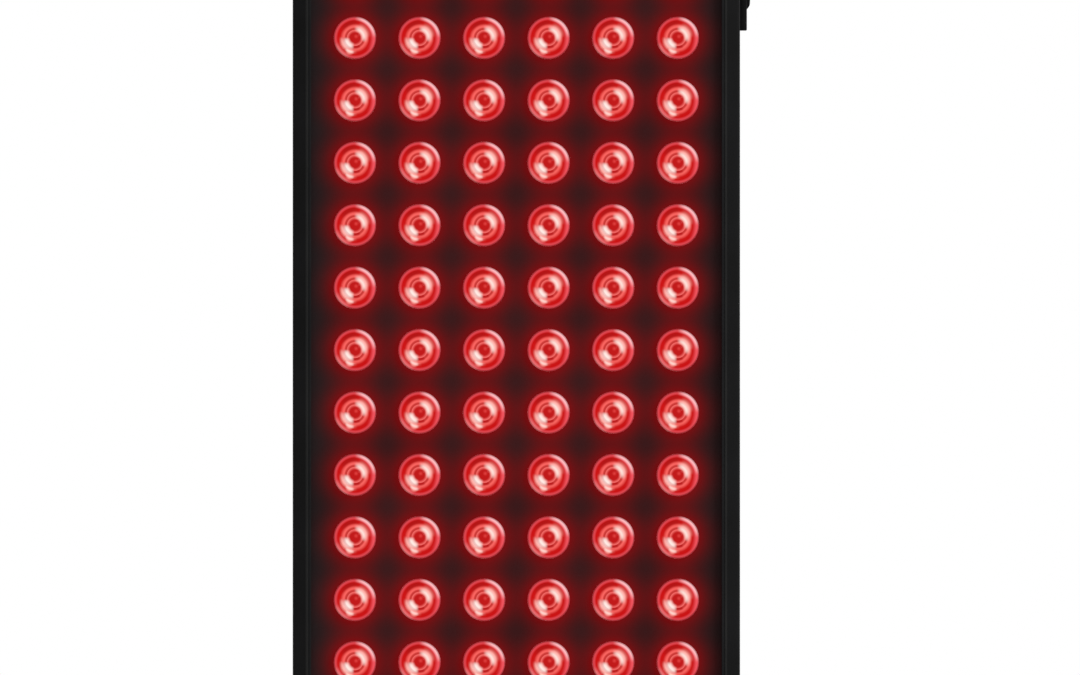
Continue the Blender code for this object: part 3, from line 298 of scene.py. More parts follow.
def lens_grid_group():
    """Offset from the nearest lens, distance from it, and how strongly the painted glow of the lenses
    around lights a place.
    """
    tree, entry, result = make_group(
        "lens grid",
        [("Position", "NodeSocketVector", None), ("Middle Height", "NodeSocketFloat", 0.0)],
        [(name, "NodeSocketFloat") for name in ("Across", "Up", "Radius", "Glow")],
    )
    split = add_node(tree, "SeparateXYZ")
    feed(tree, split.inputs[0], entry["Position"])
    height = calc(tree, "SUBTRACT", split.outputs[2], entry["Middle Height"])
    offsets = []
    spreads = []
    for along, pitch, count, shift in (
        (split.outputs[0], COLUMN_PITCH, COLUMN_COUNT, 0.5),
        (height, ROW_PITCH, ROW_COUNT, 0.0),
    ):
        last = (count - 1) / 2
        counted = calc(tree, "DIVIDE", along, pitch)
        whole = calc(tree, "ROUND", calc(tree, "SUBTRACT", counted, shift))
        nearest = calc(tree, "ADD", whole, shift)
        nearest = calc(tree, "MINIMUM", calc(tree, "MAXIMUM", nearest, -last), last)
        offset = calc(tree, "SUBTRACT", along, calc(tree, "MULTIPLY", nearest, pitch))
        offsets.append(offset)
        distance = calc(tree, "ABSOLUTE", offset)
        inside = calc(tree, "LESS_THAN", calc(tree, "ABSOLUTE", along), last * pitch)
        next_distance = calc(tree, "SUBTRACT", pitch, distance)
        own, neighbour = [
            calc(tree, "EXPONENT", calc(tree, "DIVIDE", calc(tree, "MULTIPLY", gap, gap), -(GLOW_REACH**2)))
            for gap in (distance, next_distance)
        ]
        spreads.append(calc(tree, "MULTIPLY_ADD", neighbour, inside, own))
    squares = [calc(tree, "MULTIPLY", offset, offset) for offset in offsets]
    feed(tree, result.inputs["Across"], offsets[0])
    feed(tree, result.inputs["Up"], offsets[1])
    feed(tree, result.inputs["Radius"], calc(tree, "SQRT", calc(tree, "ADD", *squares)))
    feed(tree, result.inputs["Glow"], calc(tree, "MULTIPLY", *spreads))
    return tree


def fine_grain_group():
    """Height and shade of a fine grain with larger soft patches, as on coatings and moulded plastic."""
    tree, entry, result = make_group(
        "fine grain",
        [
            ("Position", "NodeSocketVector", None),
            ("Grain Scale", "NodeSocketFloat", 2500.0),
            ("Patch Scale", "NodeSocketFloat", 30.0),
        ],
        [("Height", "NodeSocketFloat"), ("Shade", "NodeSocketFloat")],
    )
    grain = noise(tree, entry["Position"], entry["Grain Scale"], 3.0)
    patches = noise(tree, entry["Position"], entry["Patch Scale"], 4.0)
    feed(tree, result.inputs["Height"], grain)
    patch_part = calc(tree, "MULTIPLY", patches, 0.65)
    feed(tree, result.inputs["Shade"], calc(tree, "MULTIPLY_ADD", grain, 0.35, patch_part))
    return tree


def edge_wear_and_sheen_group():
    """Mask of the edges that hands and cloths rub, also used as a painted sheen of the light they catch,
    broken up by noise.
    """
    tree, entry, result = make_group(
        "edge wear",
        [("Position", "NodeSocketVector", None), ("Width", "NodeSocketFloat", 0.0006)],
        [("Mask", "NodeSocketFloat")],
    )
    rounded = add_node(tree, "Bevel", samples=4)
    feed(tree, rounded.inputs["Radius"], entry["Width"])
    geometry = add_node(tree, "NewGeometry")
    dot = add_node(tree, "VectorMath", operation="DOT_PRODUCT")
    feed(tree, dot.inputs[0], rounded.outputs[0])
    feed(tree, dot.inputs[1], geometry.outputs["True Normal"])
    edge = ease(tree, dot.outputs["Value"], 0.995, 0.86)
    broken = ease(tree, noise(tree, entry["Position"], 240.0, 5.0), 0.42, 0.64)
    feed(tree, result.inputs["Mask"], calc(tree, "MULTIPLY", edge, broken))
    return tree


LENS_GRID = lens_grid_group()
FINE_GRAIN = fine_grain_group()
EDGE_WEAR_AND_SHEEN = edge_wear_and_sheen_group()


# Materials


def start_material(name, **plain):
    """New material with plain values on the shader's sockets. Returns it, its tree, shader and position."""
    made = bpy.data.materials.new(name)
    made.use_nodes = True
    tree = made.node_tree
    shader = tree.nodes["Principled BSDF"]
    for label, value in plain.items():
        shader.inputs[label.replace("_", " ")].default_value = value
    position = add_node(tree, "TexCoord").outputs["Object"]
    return made, tree, shader, position


def add_bump(tree, shader, height, strength, distance):
    """Bump from a height."""
    bump = add_node(tree, "Bump")
    bump.inputs["Strength"].default_value = strength
    bump.inputs["Distance"].default_value = distance
    feed(tree, bump.inputs["Height"], height)
    feed(tree, shader.inputs["Normal"], bump.outputs[0])


def grained_material(name, dark, light, roughness, grain_scale, bump, specular=0.5, rubbed_and_sheen_colour=None):
    """Grained finish between two picture colours, with rubbed edges, partly lightened as a painted sheen,
    where an edge colour is given.
    """
    made, tree, shader, position = start_material(name, Specular_IOR_Level=specular)
    grain = place_group(tree, FINE_GRAIN, Position=position, Grain_Scale=grain_scale)
    shade = ease(tree, grain["Shade"], 0.35, 0.65)
    colour = blend(tree, shade, srgb(*dark), srgb(*light))
    if rubbed_and_sheen_colour is not None:
        # Lighter edges, partly rubbed and partly a painted sheen of the light they catch
        wear_and_sheen = place_group(tree, EDGE_WEAR_AND_SHEEN, Position=position)["Mask"]
        colour = blend(tree, wear_and_sheen, colour, srgb(*rubbed_and_sheen_colour))
    feed(tree, shader.inputs["Base Color"], colour)
    uneven = ease(tree, grain["Shade"], 0.30, 0.70, roughness - 0.05, roughness + 0.05)
    feed(tree, shader.inputs["Roughness"], uneven)
    add_bump(tree, shader, grain["Height"], bump, 0.0001)
    return made


def brushed_material(name, dark, light, roughness, stretch=(500.0, 500.0, 500.0)):
    """Metal with a fine grain, drawn out into lines where its scales differ."""
    made, tree, shader, position = start_material(name, Metallic=1.0)
    mapping = add_node(tree, "Mapping")
    mapping.inputs["Scale"].default_value = stretch
    feed(tree, mapping.inputs["Vector"], position)
    lines = noise(tree, mapping.outputs[0], 1.0, 3.0)
    feed(tree, shader.inputs["Base Color"], blend(tree, ease(tree, lines, 0.3, 0.7), dark, light))
    feed(tree, shader.inputs["Roughness"], ease(tree, lines, 0.2, 0.8, roughness - 0.08, roughness + 0.08))
    add_bump(tree, shader, lines, 0.15, 0.00005)
    return made


def face_material():
    """Charcoal face sheet, with the red light of the lenses painted round each lens as emission over a
    darker base colour.
    """
    made, tree, shader, position = start_material(
        "charcoal face", Roughness=0.5, Specular_IOR_Level=0.02, Emission_Strength=1.0
    )
    grid = place_group(tree, LENS_GRID, Position=position, Middle_Height=MIDDLE_Z)
    grain = place_group(tree, FINE_GRAIN, Position=position, Grain_Scale=1800.0, Patch_Scale=25.0)
    # Painted light: the red light that the lenses throw on the sheet, given as emission, with the base
    # colour darker where it falls
    lit = calc(tree, "SQRT", calc(tree, "DIVIDE", grid["Glow"], FULL_GLOW))
    lit = calc(tree, "MINIMUM", lit, 1.0)
    plain = blend(tree, ease(tree, grain["Shade"], 0.35, 0.65), srgb(33, 32, 33), srgb(38, 37, 38))
    feed(tree, shader.inputs["Base Color"], blend(tree, lit, plain, srgb(14, 13, 14)))
    level = calc(tree, "MULTIPLY", grid["Glow"], GLOW_LEVEL)
    uneven = ease(tree, grain["Shade"], 0.3, 0.7, 0.94, 1.06)
    red = calc(tree, "MULTIPLY", level, uneven)
    glow = add_node(tree, "CombineColor")
    feed(tree, glow.inputs[0], red)
    feed(tree, glow.inputs[1], calc(tree, "MULTIPLY", red, GLOW_GREEN_SHARE))
    feed(tree, glow.inputs[2], calc(tree, "MULTIPLY", red, GLOW_BLUE_SHARE))
    feed(tree, shader.inputs["Emission Color"], glow.outputs[0])
    add_bump(tree, shader, grain["Height"], 0.12, 0.0001)
    return made


def striped_material(name, ground, stripe, pitch):
    """Insulation with a stripe that winds round it, both in picture colours."""
    made, tree, shader, position = start_material(name, Roughness=0.5)
    along = add_node(tree, "VectorMath", operation="DOT_PRODUCT")
    feed(tree, along.inputs[0], position)
    along.inputs[1].default_value = (1 / pitch, 1 / pitch, 1 / pitch)
    phase = calc(tree, "FRACT", along.outputs["Value"])
    winding = calc(tree, "MULTIPLY", ease(tree, phase, 0.28, 0.32), ease(tree, phase, 0.72, 0.68))
    grain = place_group(tree, FINE_GRAIN, Position=position, Grain_Scale=900.0)
    feed(tree, shader.inputs["Base Color"], blend(tree, winding, srgb(*ground), srgb(*stripe)))
    add_bump(tree, shader, grain["Height"], 0.08, 0.0001)
    return made


def glass_material():
    """Clear glass with faint waves."""
    made, tree, shader, position = start_material(
        "fuse glass", Transmission_Weight=1.0, Roughness=0.03, IOR=1.46
    )
    tint = blend(tree, noise(tree, position, 300.0), (0.90, 0.94, 0.94, 1), (0.96, 0.98, 0.98, 1))
    feed(tree, shader.inputs["Base Color"], tint)
    return made


def lens_material():
    """Lens over a lit LED: chip, inner ring, bowl and rim, with the hot arcs of the gathered light, which
    hold painted highlights of the studio light as well.
    """
    made, tree, shader, position = start_material(
        "lit lens", Roughness=0.12, Specular_IOR_Level=0.02, Emission_Strength=1.0
    )
    grid = place_group(tree, LENS_GRID, Position=position, Middle_Height=MIDDLE_Z)
    across = calc(tree, "DIVIDE", grid["Across"], MM)
    up = calc(tree, "DIVIDE", grid["Up"], MM)
    radius = calc(tree, "DIVIDE", grid["Radius"], MM)
    safe_radius = calc(tree, "MAXIMUM", radius, 0.01)

    def facing(degrees, wide, narrow):
        """Mask of the directions from the lens's middle that lie near an angle, counted from the right."""
        turn = math.radians(degrees)
        rise = calc(tree, "MULTIPLY", up, math.sin(turn))
        along = calc(tree, "MULTIPLY_ADD", across, math.cos(turn), rise)
        cosine = calc(tree, "DIVIDE", along, safe_radius)
        return ease(tree, cosine, math.cos(math.radians(wide)), math.cos(math.radians(narrow)))

    def within(outer, inner):
        """Mask of the middle, that fades out from an inner to an outer radius."""
        return ease(tree, radius, outer, inner)

    def arc_mask(directions, rise, fall=None, strength=1.0):
        """Mask of an arc: directions for facing, then the radii between which it rises and falls."""
        mask = calc(tree, "MULTIPLY", facing(*directions), ease(tree, radius, *rise))
        if fall is not None:
            mask = calc(tree, "MULTIPLY", mask, ease(tree, radius, *fall))
        return calc(tree, "MULTIPLY", mask, strength)

    def spot(x, z, outer, inner):
        """Mask of a soft round spot."""
        dx = calc(tree, "SUBTRACT", across, x)
        dz = calc(tree, "SUBTRACT", up, z)
        gap = calc(tree, "SQRT", calc(tree, "MULTIPLY_ADD", dx, dx, calc(tree, "MULTIPLY", dz, dz)))
        return ease(tree, gap, outer, inner)

    bowl = srgb(199, 17, 17)
    layers = [
        # Rings of the bowl
        (within(7.1, 5.1), (247, 101, 96)),
        (within(5.2, 4.4), (200, 57, 53)),
        (arc_mask((275, 32, 17), (3.0, 3.3), (5.65, 4.4), 0.72), (177, 1, 8)),
        (within(3.8, 3.7), (246, 111, 107)),
        # Chip under the middle lens
        (within(3.92, 2.2), (190, 24, 24)),
        (spot(0.55, 0.7, 1.4, -0.25), (223, 64, 62)),
        # Light gathered on the upper right: partly the LED's own light, partly a painted reflection of the
        # studio light from that side
        (arc_mask((34, 64, 0), (2.5, 4.3), (6.6, 4.1)), (255, 224, 216)),
        (arc_mask((38, 40, 0), (5.2, 5.5), (8.25, 4.4), 0.6), (255, 195, 185)),
        # Light gathered on the lower left, and the hook beyond it: partly the LED's own light, partly
        # painted studio light bent through the lens from the upper right
        (arc_mask((220.5, 47.5, 0), (2.0, 4.2), (7.45, 4.5)), (255, 234, 227)),
        (arc_mask((227, 55, 10), (5.8, 6.1), (8.0, 5.6), 0.82), (255, 173, 163)),
        (spot(-2.5, -6.3, 2.25, 0.2), (255, 165, 156)),
        (arc_mask((248, 21, 0), (6.1, 6.5), (7.7, 6.9), 0.46), (255, 241, 234)),
        (arc_mask((220, 46, 40), (4.3, 5.1), (6.2, 5.4), 0.33), (190, 56, 59)),
        # Rim, with painted highlights of the studio light that it catches, strongest on the upper right
        (ease(tree, radius, 7.9, 9.15), (217, 69, 77)),
        (arc_mask((114, 43, 0), (5.75, 7.0), (8.5, 7.8), 0.74), (167, 21, 21)),
        (arc_mask((16, 67, 0), (6.9, 8.65), (11.15, 9.25), 0.49), (255, 98, 109)),
        (arc_mask((45, 47.5, 0), (7.7, 9.2)), (255, 188, 192)),
        (arc_mask((224, 33, 0), (7.0, 11.0)), (237, 131, 132)),
        (calc(tree, "MULTIPLY", ease(tree, radius, 9.3, 9.5), 0.45), (27, 0, 3)),
    ]
    colour = bowl
    for mask, shade in layers:
        colour = blend(tree, mask, colour, srgb(*shade))
    feed(tree, shader.inputs["Emission Color"], colour)
    feed(tree, shader.inputs["Base Color"], blend(tree, 0.95, colour, (0, 0, 0, 1)))
    return made


# Shape helpers


def mesh_from(bm, name):
    """Turn a bmesh into a mesh."""
    mesh = bpy.data.meshes.new(name)
    bm.to_mesh(mesh)
    bm.free()
    return mesh


def add_object(name, data):
    """Put a new object in the scene."""
    made = bpy.data.objects.new(name, data)
    bpy.context.scene.collection.objects.link(made)
    return made


def add_piece(name, bm, material, replaces=(), body="housing", smooth_deg=35):
    """Put a finished shape in the scene as a piece that rides on a body."""
    bmesh.ops.recalc_face_normals(bm, faces=bm.faces)
    rounded_faces = [part.smooth for part in bm.faces]
    mesh = mesh_from(bm, name)
    mesh.materials.append(material)
    mesh.set_sharp_from_angle(angle=math.radians(smooth_deg))
    mesh.polygons.foreach_set("use_smooth", rounded_faces)
    piece = add_object(name, mesh)
    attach(piece, body)
    if replaces:
        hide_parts(*replaces)


def join_copy(bm, other, offset=(0, 0, 0)):
    """Add a copy of another bmesh, moved by an offset."""
    mesh = bpy.data.meshes.new("joined")
    other.to_mesh(mesh)
    before = set(bm.verts)
    bm.from_mesh(mesh)
    bpy.data.meshes.remove(mesh)
    new = [vertex for vertex in bm.verts if vertex not in before]
    bmesh.ops.translate(bm, vec=Vector(offset), verts=new)


def join(bm, other, offset=(0, 0, 0)):
    """Move another bmesh, shifted by an offset, into this one."""
    join_copy(bm, other, offset)
    other.free()


def set_smooth(faces, smooth=True):
    """Shade faces smooth, or flat."""
    for part in faces:
        part.smooth = smooth


def put(bm, turn, place):
    """Turn a bmesh about the origin and move it to a place."""
    bmesh.ops.rotate(bm, matrix=turn, verts=bm.verts)
    bmesh.ops.translate(bm, vec=Vector(place), verts=bm.verts)


def in_metres(points, start=0):
    """Profile given in millimetres, made metres and moved along its axis to a start."""
    return [(radius * MM, start + height * MM) for radius, height in points]


def full_turn(bm, axis, steps):
    """Spin the outline in a bmesh once round an axis through the origin."""
    bmesh.ops.spin(
        bm,
        geom=list(bm.verts) + list(bm.edges),
        cent=(0, 0, 0),
        axis=axis,
        angle=2 * math.pi,
        steps=steps,
        use_merge=True,
        use_duplicate=False,
    )
    bmesh.ops.remove_doubles(bm, verts=bm.verts, dist=MERGE_CLOSE)
    set_smooth(bm.faces)


def turned(profile, steps, axis, centre=(0, 0, 0)):
    """Turn a profile of radii and heights about an axis through a centre. Its ends lie on the axis."""
    bm = bmesh.new()
    corners = [bm.verts.new((radius, 0, height)) for radius, height in profile]
    for pair in zip(corners, corners[1:]):
        bm.edges.new(pair)
    full_turn(bm, (0, 0, 1), steps)
    put(bm, TURNS[axis], centre)
    return bm


def plate(loops, thickness, edge, axis, centre=(0, 0, 0), edge_steps=1):
    """Plate square to an axis, filled between its loops, with softened edges that stay inside the loops."""
    curve = bpy.data.curves.new("plate", "CURVE")
    curve.dimensions = "2D"
    curve.fill_mode = "BOTH"
    curve.extrude = thickness / 2 - edge
    curve.bevel_depth = edge
    curve.bevel_resolution = edge_steps
    curve.offset = -edge
    for loop in loops:
        spline = curve.splines.new("POLY")
        spline.points.add(len(loop) - 1)
        for point, (x, y) in zip(spline.points, loop):
            point.co = (x, y, 0, 1)
        spline.use_cyclic_u = True
    holder = add_object("plate", curve)
    evaluated = holder.evaluated_get(bpy.context.evaluated_depsgraph_get())
    mesh = bpy.data.meshes.new_from_object(evaluated)
    bm = bmesh.new()
    bm.from_mesh(mesh)
    bpy.data.objects.remove(holder, do_unlink=True)
    bpy.data.meshes.remove(mesh)
    bmesh.ops.remove_doubles(bm, verts=bm.verts, dist=MERGE)
    for part in bm.faces:
        part.smooth = abs(part.normal.z) < 0.999
    put(bm, TURNS[axis], centre)
    return bm


def front_plate(loops, start, end, edge, z):
    """Plate square to Y between two distances, about the panel's middle at a height."""
    return plate(loops, end - start, edge, "Y", (0, (start + end) / 2, z))


def side_plate(loops, start, end, edge, middle):
    """Plate square to X between two distances, about a middle given as Y and Z."""
    return plate(loops, end - start, edge, "X", ((start + end) / 2, *middle), 2)


def circle(radius, sides, centre=(0, 0)):
    """Round loop."""
    return arc(radius, 0, 2 * math.pi * (1 - 1 / sides), sides - 1, centre)


def arc(radius, start, end, steps, centre=(0, 0)):
    """Points along an arc."""
    turns = [start + (end - start) * index / steps for index in range(steps + 1)]
    return [(centre[0] + radius * math.cos(turn), centre[1] + radius * math.sin(turn)) for turn in turns]


def rectangle(width, height, centre=(0, 0)):
    """Rectangle loop about a centre."""
    x, y = centre
    half = width / 2
    rise = height / 2
    return [(x - half, y - rise), (x + half, y - rise), (x + half, y + rise), (x - half, y + rise)]


def rounded(loop, radius, steps=4):
    """The same loop with its corners rounded, no further than half of the sides next to them."""
    points = [Vector(corner) for corner in loop]
    result = []
    for before, corner, after in zip(points[-1:] + points[:-1], points, points[1:] + points[:1]):
        reach = min(radius, (before - corner).length * 0.49, (after - corner).length * 0.49)
        first = corner + (before - corner).normalized() * reach
        last = corner + (after - corner).normalized() * reach
        for index in range(steps + 1):
            share = index / steps
            middle = corner * 2 * share * (1 - share)
            result.append(tuple(first * (1 - share) ** 2 + middle + last * share**2))
    return result


def softened_copy(node, edge, sharp_deg=25):
    """Copy of a CAD node's shape with its sharp edges rounded."""
    bm = bmesh.new()
    bm.from_mesh(NODES[node].data)
    bmesh.ops.remove_doubles(bm, verts=bm.verts, dist=MERGE)
    bmesh.ops.dissolve_limit(bm, angle_limit=math.radians(1), verts=bm.verts, edges=bm.edges)
    sharp = [item for item in bm.edges if abs(item.calc_face_angle(0)) > math.radians(sharp_deg)]
    set_smooth(bm.faces, False)
    softened = bmesh.ops.bevel(
        bm,
        geom=sharp,
        offset=edge,
        offset_type="OFFSET",
        segments=2,
        profile=0.5,
        affect="EDGES",
        clamp_overlap=True,
        material=-1,
    )
    set_smooth(softened["faces"])
    return bm


# Turns that lay shapes made square to Z across another axis
TURNS = {
    "X": Matrix(((0, 0, 1), (1, 0, 0), (0, 1, 0))),
    "Y": Matrix(((-1, 0, 0), (0, 0, 1), (0, 1, 0))),
    "Z": Matrix.Identity(3),
}


# Places taken from the CAD model

PANEL_LOW, PANEL_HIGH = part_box("front_panel")
MIDDLE_Z = (PANEL_LOW.z + PANEL_HIGH.z) / 2
MODULE_LOW, MODULE_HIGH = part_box("led_module_1")
COVER_LOW, COVER_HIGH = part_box("back_cover")
RAIL_LOW, RAIL_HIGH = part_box("right_rail")
LEFT_RAIL_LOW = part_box("left_rail")[0]


def column_x(column):
    """Middle of a lens column."""
    return (column - (COLUMN_COUNT - 1) / 2) * COLUMN_PITCH


def row_z(row):
    """Height of a lens row, counted from the bottom."""
    return MIDDLE_Z + (row - (ROW_COUNT - 1) / 2) * ROW_PITCH


# Face and lenses


def make_face():
    """Face sheet with a round, softened hole for every lens."""
    loops = [rectangle(PANEL_HIGH.x - PANEL_LOW.x, PANEL_HIGH.z - PANEL_LOW.z)]
    for row in range(ROW_COUNT):
        for column in range(COLUMN_COUNT):
            place = (column_x(column), row_z(row) - MIDDLE_Z)
            loops.append(circle(LENS_RADIUS + LENS_HOLE_ROOM, 40, place))
    sheet = front_plate(loops, PANEL_LOW.y, PANEL_HIGH.y, THIN_EDGE, MIDDLE_Z)
    add_piece("face_sheet", sheet, face, ["front_panel"])


def mitred_ring(profile):
    """Ring round the face with mitred corners.

    The profile's points are the inset from the frame's outside and the depth behind its front, in
    millimetres.
    """
    half_width = (RAIL_HIGH.x - LEFT_RAIL_LOW.x) / 2
    half_height = (RAIL_HIGH.z - RAIL_LOW.z) / 2
    bm = bmesh.new()
    rings = []
    for inset, depth in profile:
        x = half_width - inset * MM
        z = half_height - inset * MM
        y = RAIL_LOW.y + depth * MM
        corners = [(-x, -z), (x, -z), (x, z), (-x, z)]
        rings.append([bm.verts.new((corner[0], y, MIDDLE_Z + corner[1])) for corner in corners])
    for first, second in zip(rings, rings[1:] + rings[:1]):
        for index in range(4):
            after = (index + 1) % 4
            bm.faces.new((first[index], first[after], second[after], second[index]))
    return bm


def make_lip_trim():
    """Thin bead on the inner edge of the frame's lips, whose lighter grey is partly a painted highlight
    along that edge, and the gasket between it and the face sheet.
    """
    bead = [(6.4, 1.2), (6.05, 0.6), (6.05, 0.12), (6.7, 0), (7, 0), (7.15, 0.05), (7.2, 0.2), (7.2, 1.2)]
    gasket = [(7.1, 2.3), (7.1, 0.3), (7.3, 0.22), (8.35, 0.06), (8.5, 0.12), (8.6, 0.3)]
    gasket += [(8.6, 2.6), (7.1, 2.6)]
    add_piece("lip_bead", mitred_ring(bead), bead_grey)
    add_piece("face_gasket", mitred_ring(gasket), gasket_black)


def one_lens():
    """One lens about the Y axis: foot, flaring side, rim, bowl, inner ring and middle lens.

    The profile's points are the radius and the depth behind the lens's front, in millimetres.
    """
    side = [(0, 13.55), (6.6, 13.55), (9.2, 1.5), (9.85, 1.2), (9.9, 0.9), (9.88, 0.45), (9.7, 0.14)]
    rim = [(9.4, 0.02), (9.05, 0.0), (8.72, 0.08), (8.5, 0.35), (8.35, 0.8)]
    bowl = [(7.6, 1.45), (6.7, 2.15), (5.9, 2.9), (5.2, 3.4), (4.5, 3.75), (4.15, 3.65)]
    ring = [(3.85, 3.0), (3.4, 2.6), (3.1, 2.65), (2.85, 2.9)]
    middle = [(2.55, 2.7), (1.9, 2.25), (1.0, 1.92), (0, 1.82)]
    points = side + rim + bowl + ring + middle
    return turned(in_metres(points, MODULE_LOW.y), LENS_STEPS, "Y")


def make_modules():
    """For each LED module, a piece of lenses and the board behind them."""
    lens_shape = one_lens()
    width = MODULE_HIGH.x - MODULE_LOW.x
    height = ROWS_PER_MODULE * ROW_PITCH - BOARD_GAP
    board_front = MODULE_HIGH.y - BOARD_THICKNESS
    for module in range(ROW_COUNT // ROWS_PER_MODULE):
        lenses = bmesh.new()
        rows = range(module * ROWS_PER_MODULE, (module + 1) * ROWS_PER_MODULE)
        middle_z = (row_z(rows[0]) + row_z(rows[-1])) / 2
        loops = [rounded(rectangle(width, height), BOARD_CORNER)]
        for row in rows:
            for column in range(COLUMN_COUNT):
                join_copy(lenses, lens_shape, (column_x(column), 0, row_z(row)))
        for column in range(COLUMN_COUNT - 1):
            for side in (-1, 1):
                loops.append(circle(BOARD_HOLE_RADIUS, 12, (column_x(column + 0.5), side * ROW_PITCH / 2)))
        board = front_plate(loops, board_front, MODULE_HIGH.y, THIN_EDGE, middle_z)
        name = f"lenses_{module + 1}"
        add_piece(name, lenses, lens, [f"led_module_{module + 1}"], smooth_deg=50)
        add_piece(f"led_board_{module + 1}", board, board_mask)
    lens_shape.free()


# Fans


def fan_z(name):
    """Height of a fan's axis."""
    low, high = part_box(f"{name}_fan_frame")
    return (low.z + high.z) / 2


def corner_places(spacing):
    """Places at the corners of a square."""
    return [(x * spacing / 2, z * spacing / 2) for x in (-1, 1) for z in (-1, 1)]


def make_fan_frame(name):
    """Square frame with a round bore and screw holes, and the motor mount on its struts."""
    node = f"{name}_fan_frame"
    low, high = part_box(node)
    z = fan_z(name)
    loops = [rounded(rectangle(FAN_SIZE, FAN_SIZE), FAN_CORNER_REACH, 6), circle(FAN_BORE_RADIUS, 72)]
    loops += [circle(FAN_SCREW_HOLE, 16, place) for place in corner_places(FAN_SCREW_SPACING)]
    fan_frame = front_plate(loops, low.y, high.y, THICK_EDGE, z)
    half = STRUT_WIDTH / 2
    root = math.asin(half / FAN_HUB_RADIUS)
    step = 2 * math.pi / STRUT_COUNT
    spider = []
    for index in range(STRUT_COUNT):
        angle = step * (index + 0.5)
        along = Vector((math.cos(angle), math.sin(angle)))
        across = Vector((-along.y, along.x))
        end = along * (FAN_BORE_RADIUS + STRUT_OVERLAP)
        spider += [tuple(end - across * half), tuple(end + across * half)]
        spider += arc(FAN_HUB_RADIUS, angle + root, angle + step - root, 12)
    join(fan_frame, front_plate([spider], high.y - STRUT_DEPTH, high.y, STRUT_EDGE, z))
    add_piece(f"{name}_fan_housing", fan_frame, fan_plastic, [node])


def make_fan_rotor(name):
    """Hub with a rounded edge, swept blades, and the shaft."""
    node = f"{name}_fan_rotor"
    low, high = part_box(node)
    z = fan_z(name)
    back = high.y - SHAFT_LENGTH
    hub = FAN_HUB_RADIUS
    floor = low.y + HUB_DISH_DEPTH
    dish, dish_rim = [hub * share for share in HUB_DISH_SHARES]
    profile = [(0, floor), (dish, floor), (dish_rim, low.y), (hub - HUB_ROUND, low.y)]
    profile += [(hub - THICK_EDGE, low.y + THICK_EDGE), (hub, low.y + HUB_ROUND)]
    profile += [(hub, back - HUB_DISH_DEPTH), (hub - HUB_DISH_DEPTH, back)]
    profile += [(SHAFT_RADIUS, back), (SHAFT_RADIUS, high.y), (0, high.y)]
    rotor = turned(profile, 56, "Y", (0, 0, z))
    middle_y = (low.y + back) / 2
    root = hub * BLADE_ROOT_SHARE
    tip = FAN_BORE_RADIUS * math.cos(math.pi / FAN_BORE_SIDES) - BLADE_TIP_GAP
    for number in range(BLADE_COUNT):
        blade = bmesh.new()
        bmesh.ops.create_grid(blade, x_segments=6, y_segments=8, size=1)
        for vertex in blade.verts:
            span = (vertex.co.x + 1) / 2
            chord = vertex.co.y
            radius = root + (tip - root) * span
            turn = math.radians(BLADE_SWEEP_DEG * span + BLADE_CHORD_DEG / 2 * chord)
            angle = 2 * math.pi * number / BLADE_COUNT + turn
            rise = BLADE_RISE / 2 * chord + BLADE_CAMBER * (1 - chord * chord)
            vertex.co = (radius * math.cos(angle), middle_y + rise, z + radius * math.sin(angle))
        blade.normal_update()
        bmesh.ops.solidify(blade, geom=blade.faces, thickness=BLADE_THICKNESS)
        set_smooth(blade.faces)
        join(rotor, blade)
    add_piece(f"{name}_fan_wheel", rotor, fan_plastic, [node], body=f"{name}_fan")


# Back cover


def grille_loops(centre_z):
    """Arc slots in rings, in front of a fan's bore."""
    outer = FAN_BORE_RADIUS - GRILLE_BAR / 2
    pitch = (outer - FAN_HUB_RADIUS) / GRILLE_RING_COUNT
    loops = []
    for ring in range(GRILLE_RING_COUNT):
        low = FAN_HUB_RADIUS + ring * pitch + GRILLE_BAR
        high = FAN_HUB_RADIUS + (ring + 1) * pitch
        for spoke in range(STRUT_COUNT):
            start = 2 * math.pi * (spoke + 0.5) / STRUT_COUNT
            end = start + 2 * math.pi / STRUT_COUNT
            edges = []
            for radius, ends in ((high, (start, end)), (low, (end, start))):
                inset = math.copysign(math.asin(GRILLE_SPOKE / 2 / radius), ends[1] - ends[0])
                edges += arc(radius, ends[0] + inset, ends[1] - inset, 18, (0, centre_z))
            loops.append(edges)
    return loops


def cover_screw_places():
    """Places of the screws round the edge of the back cover, and at the corners of the fans."""
    x = (COVER_HIGH.x - COVER_LOW.x) / 2 - COVER_SCREW_INSET
    top = (COVER_HIGH.z - COVER_LOW.z) / 2 - COVER_SCREW_INSET
    places = [(side * x, share * top) for side in (-1, 1) for share in (-1, -0.5, 0, 0.5, 1)]
    places += [(0, -top), (0, top)]
    for name in ("upper", "lower"):
        offset = fan_z(name) - MIDDLE_Z
        places += [(x, z + offset) for x, z in corner_places(FAN_SCREW_SPACING)]
    return places


def cross_loop(reach, half):
    """Outline of a cross recess."""
    quarter = [(reach, -half), (reach, half), (half, half)]
    loop = []
    for _ in range(4):
        loop += quarter
        quarter = [(-y, x) for x, y in quarter]
    return loop


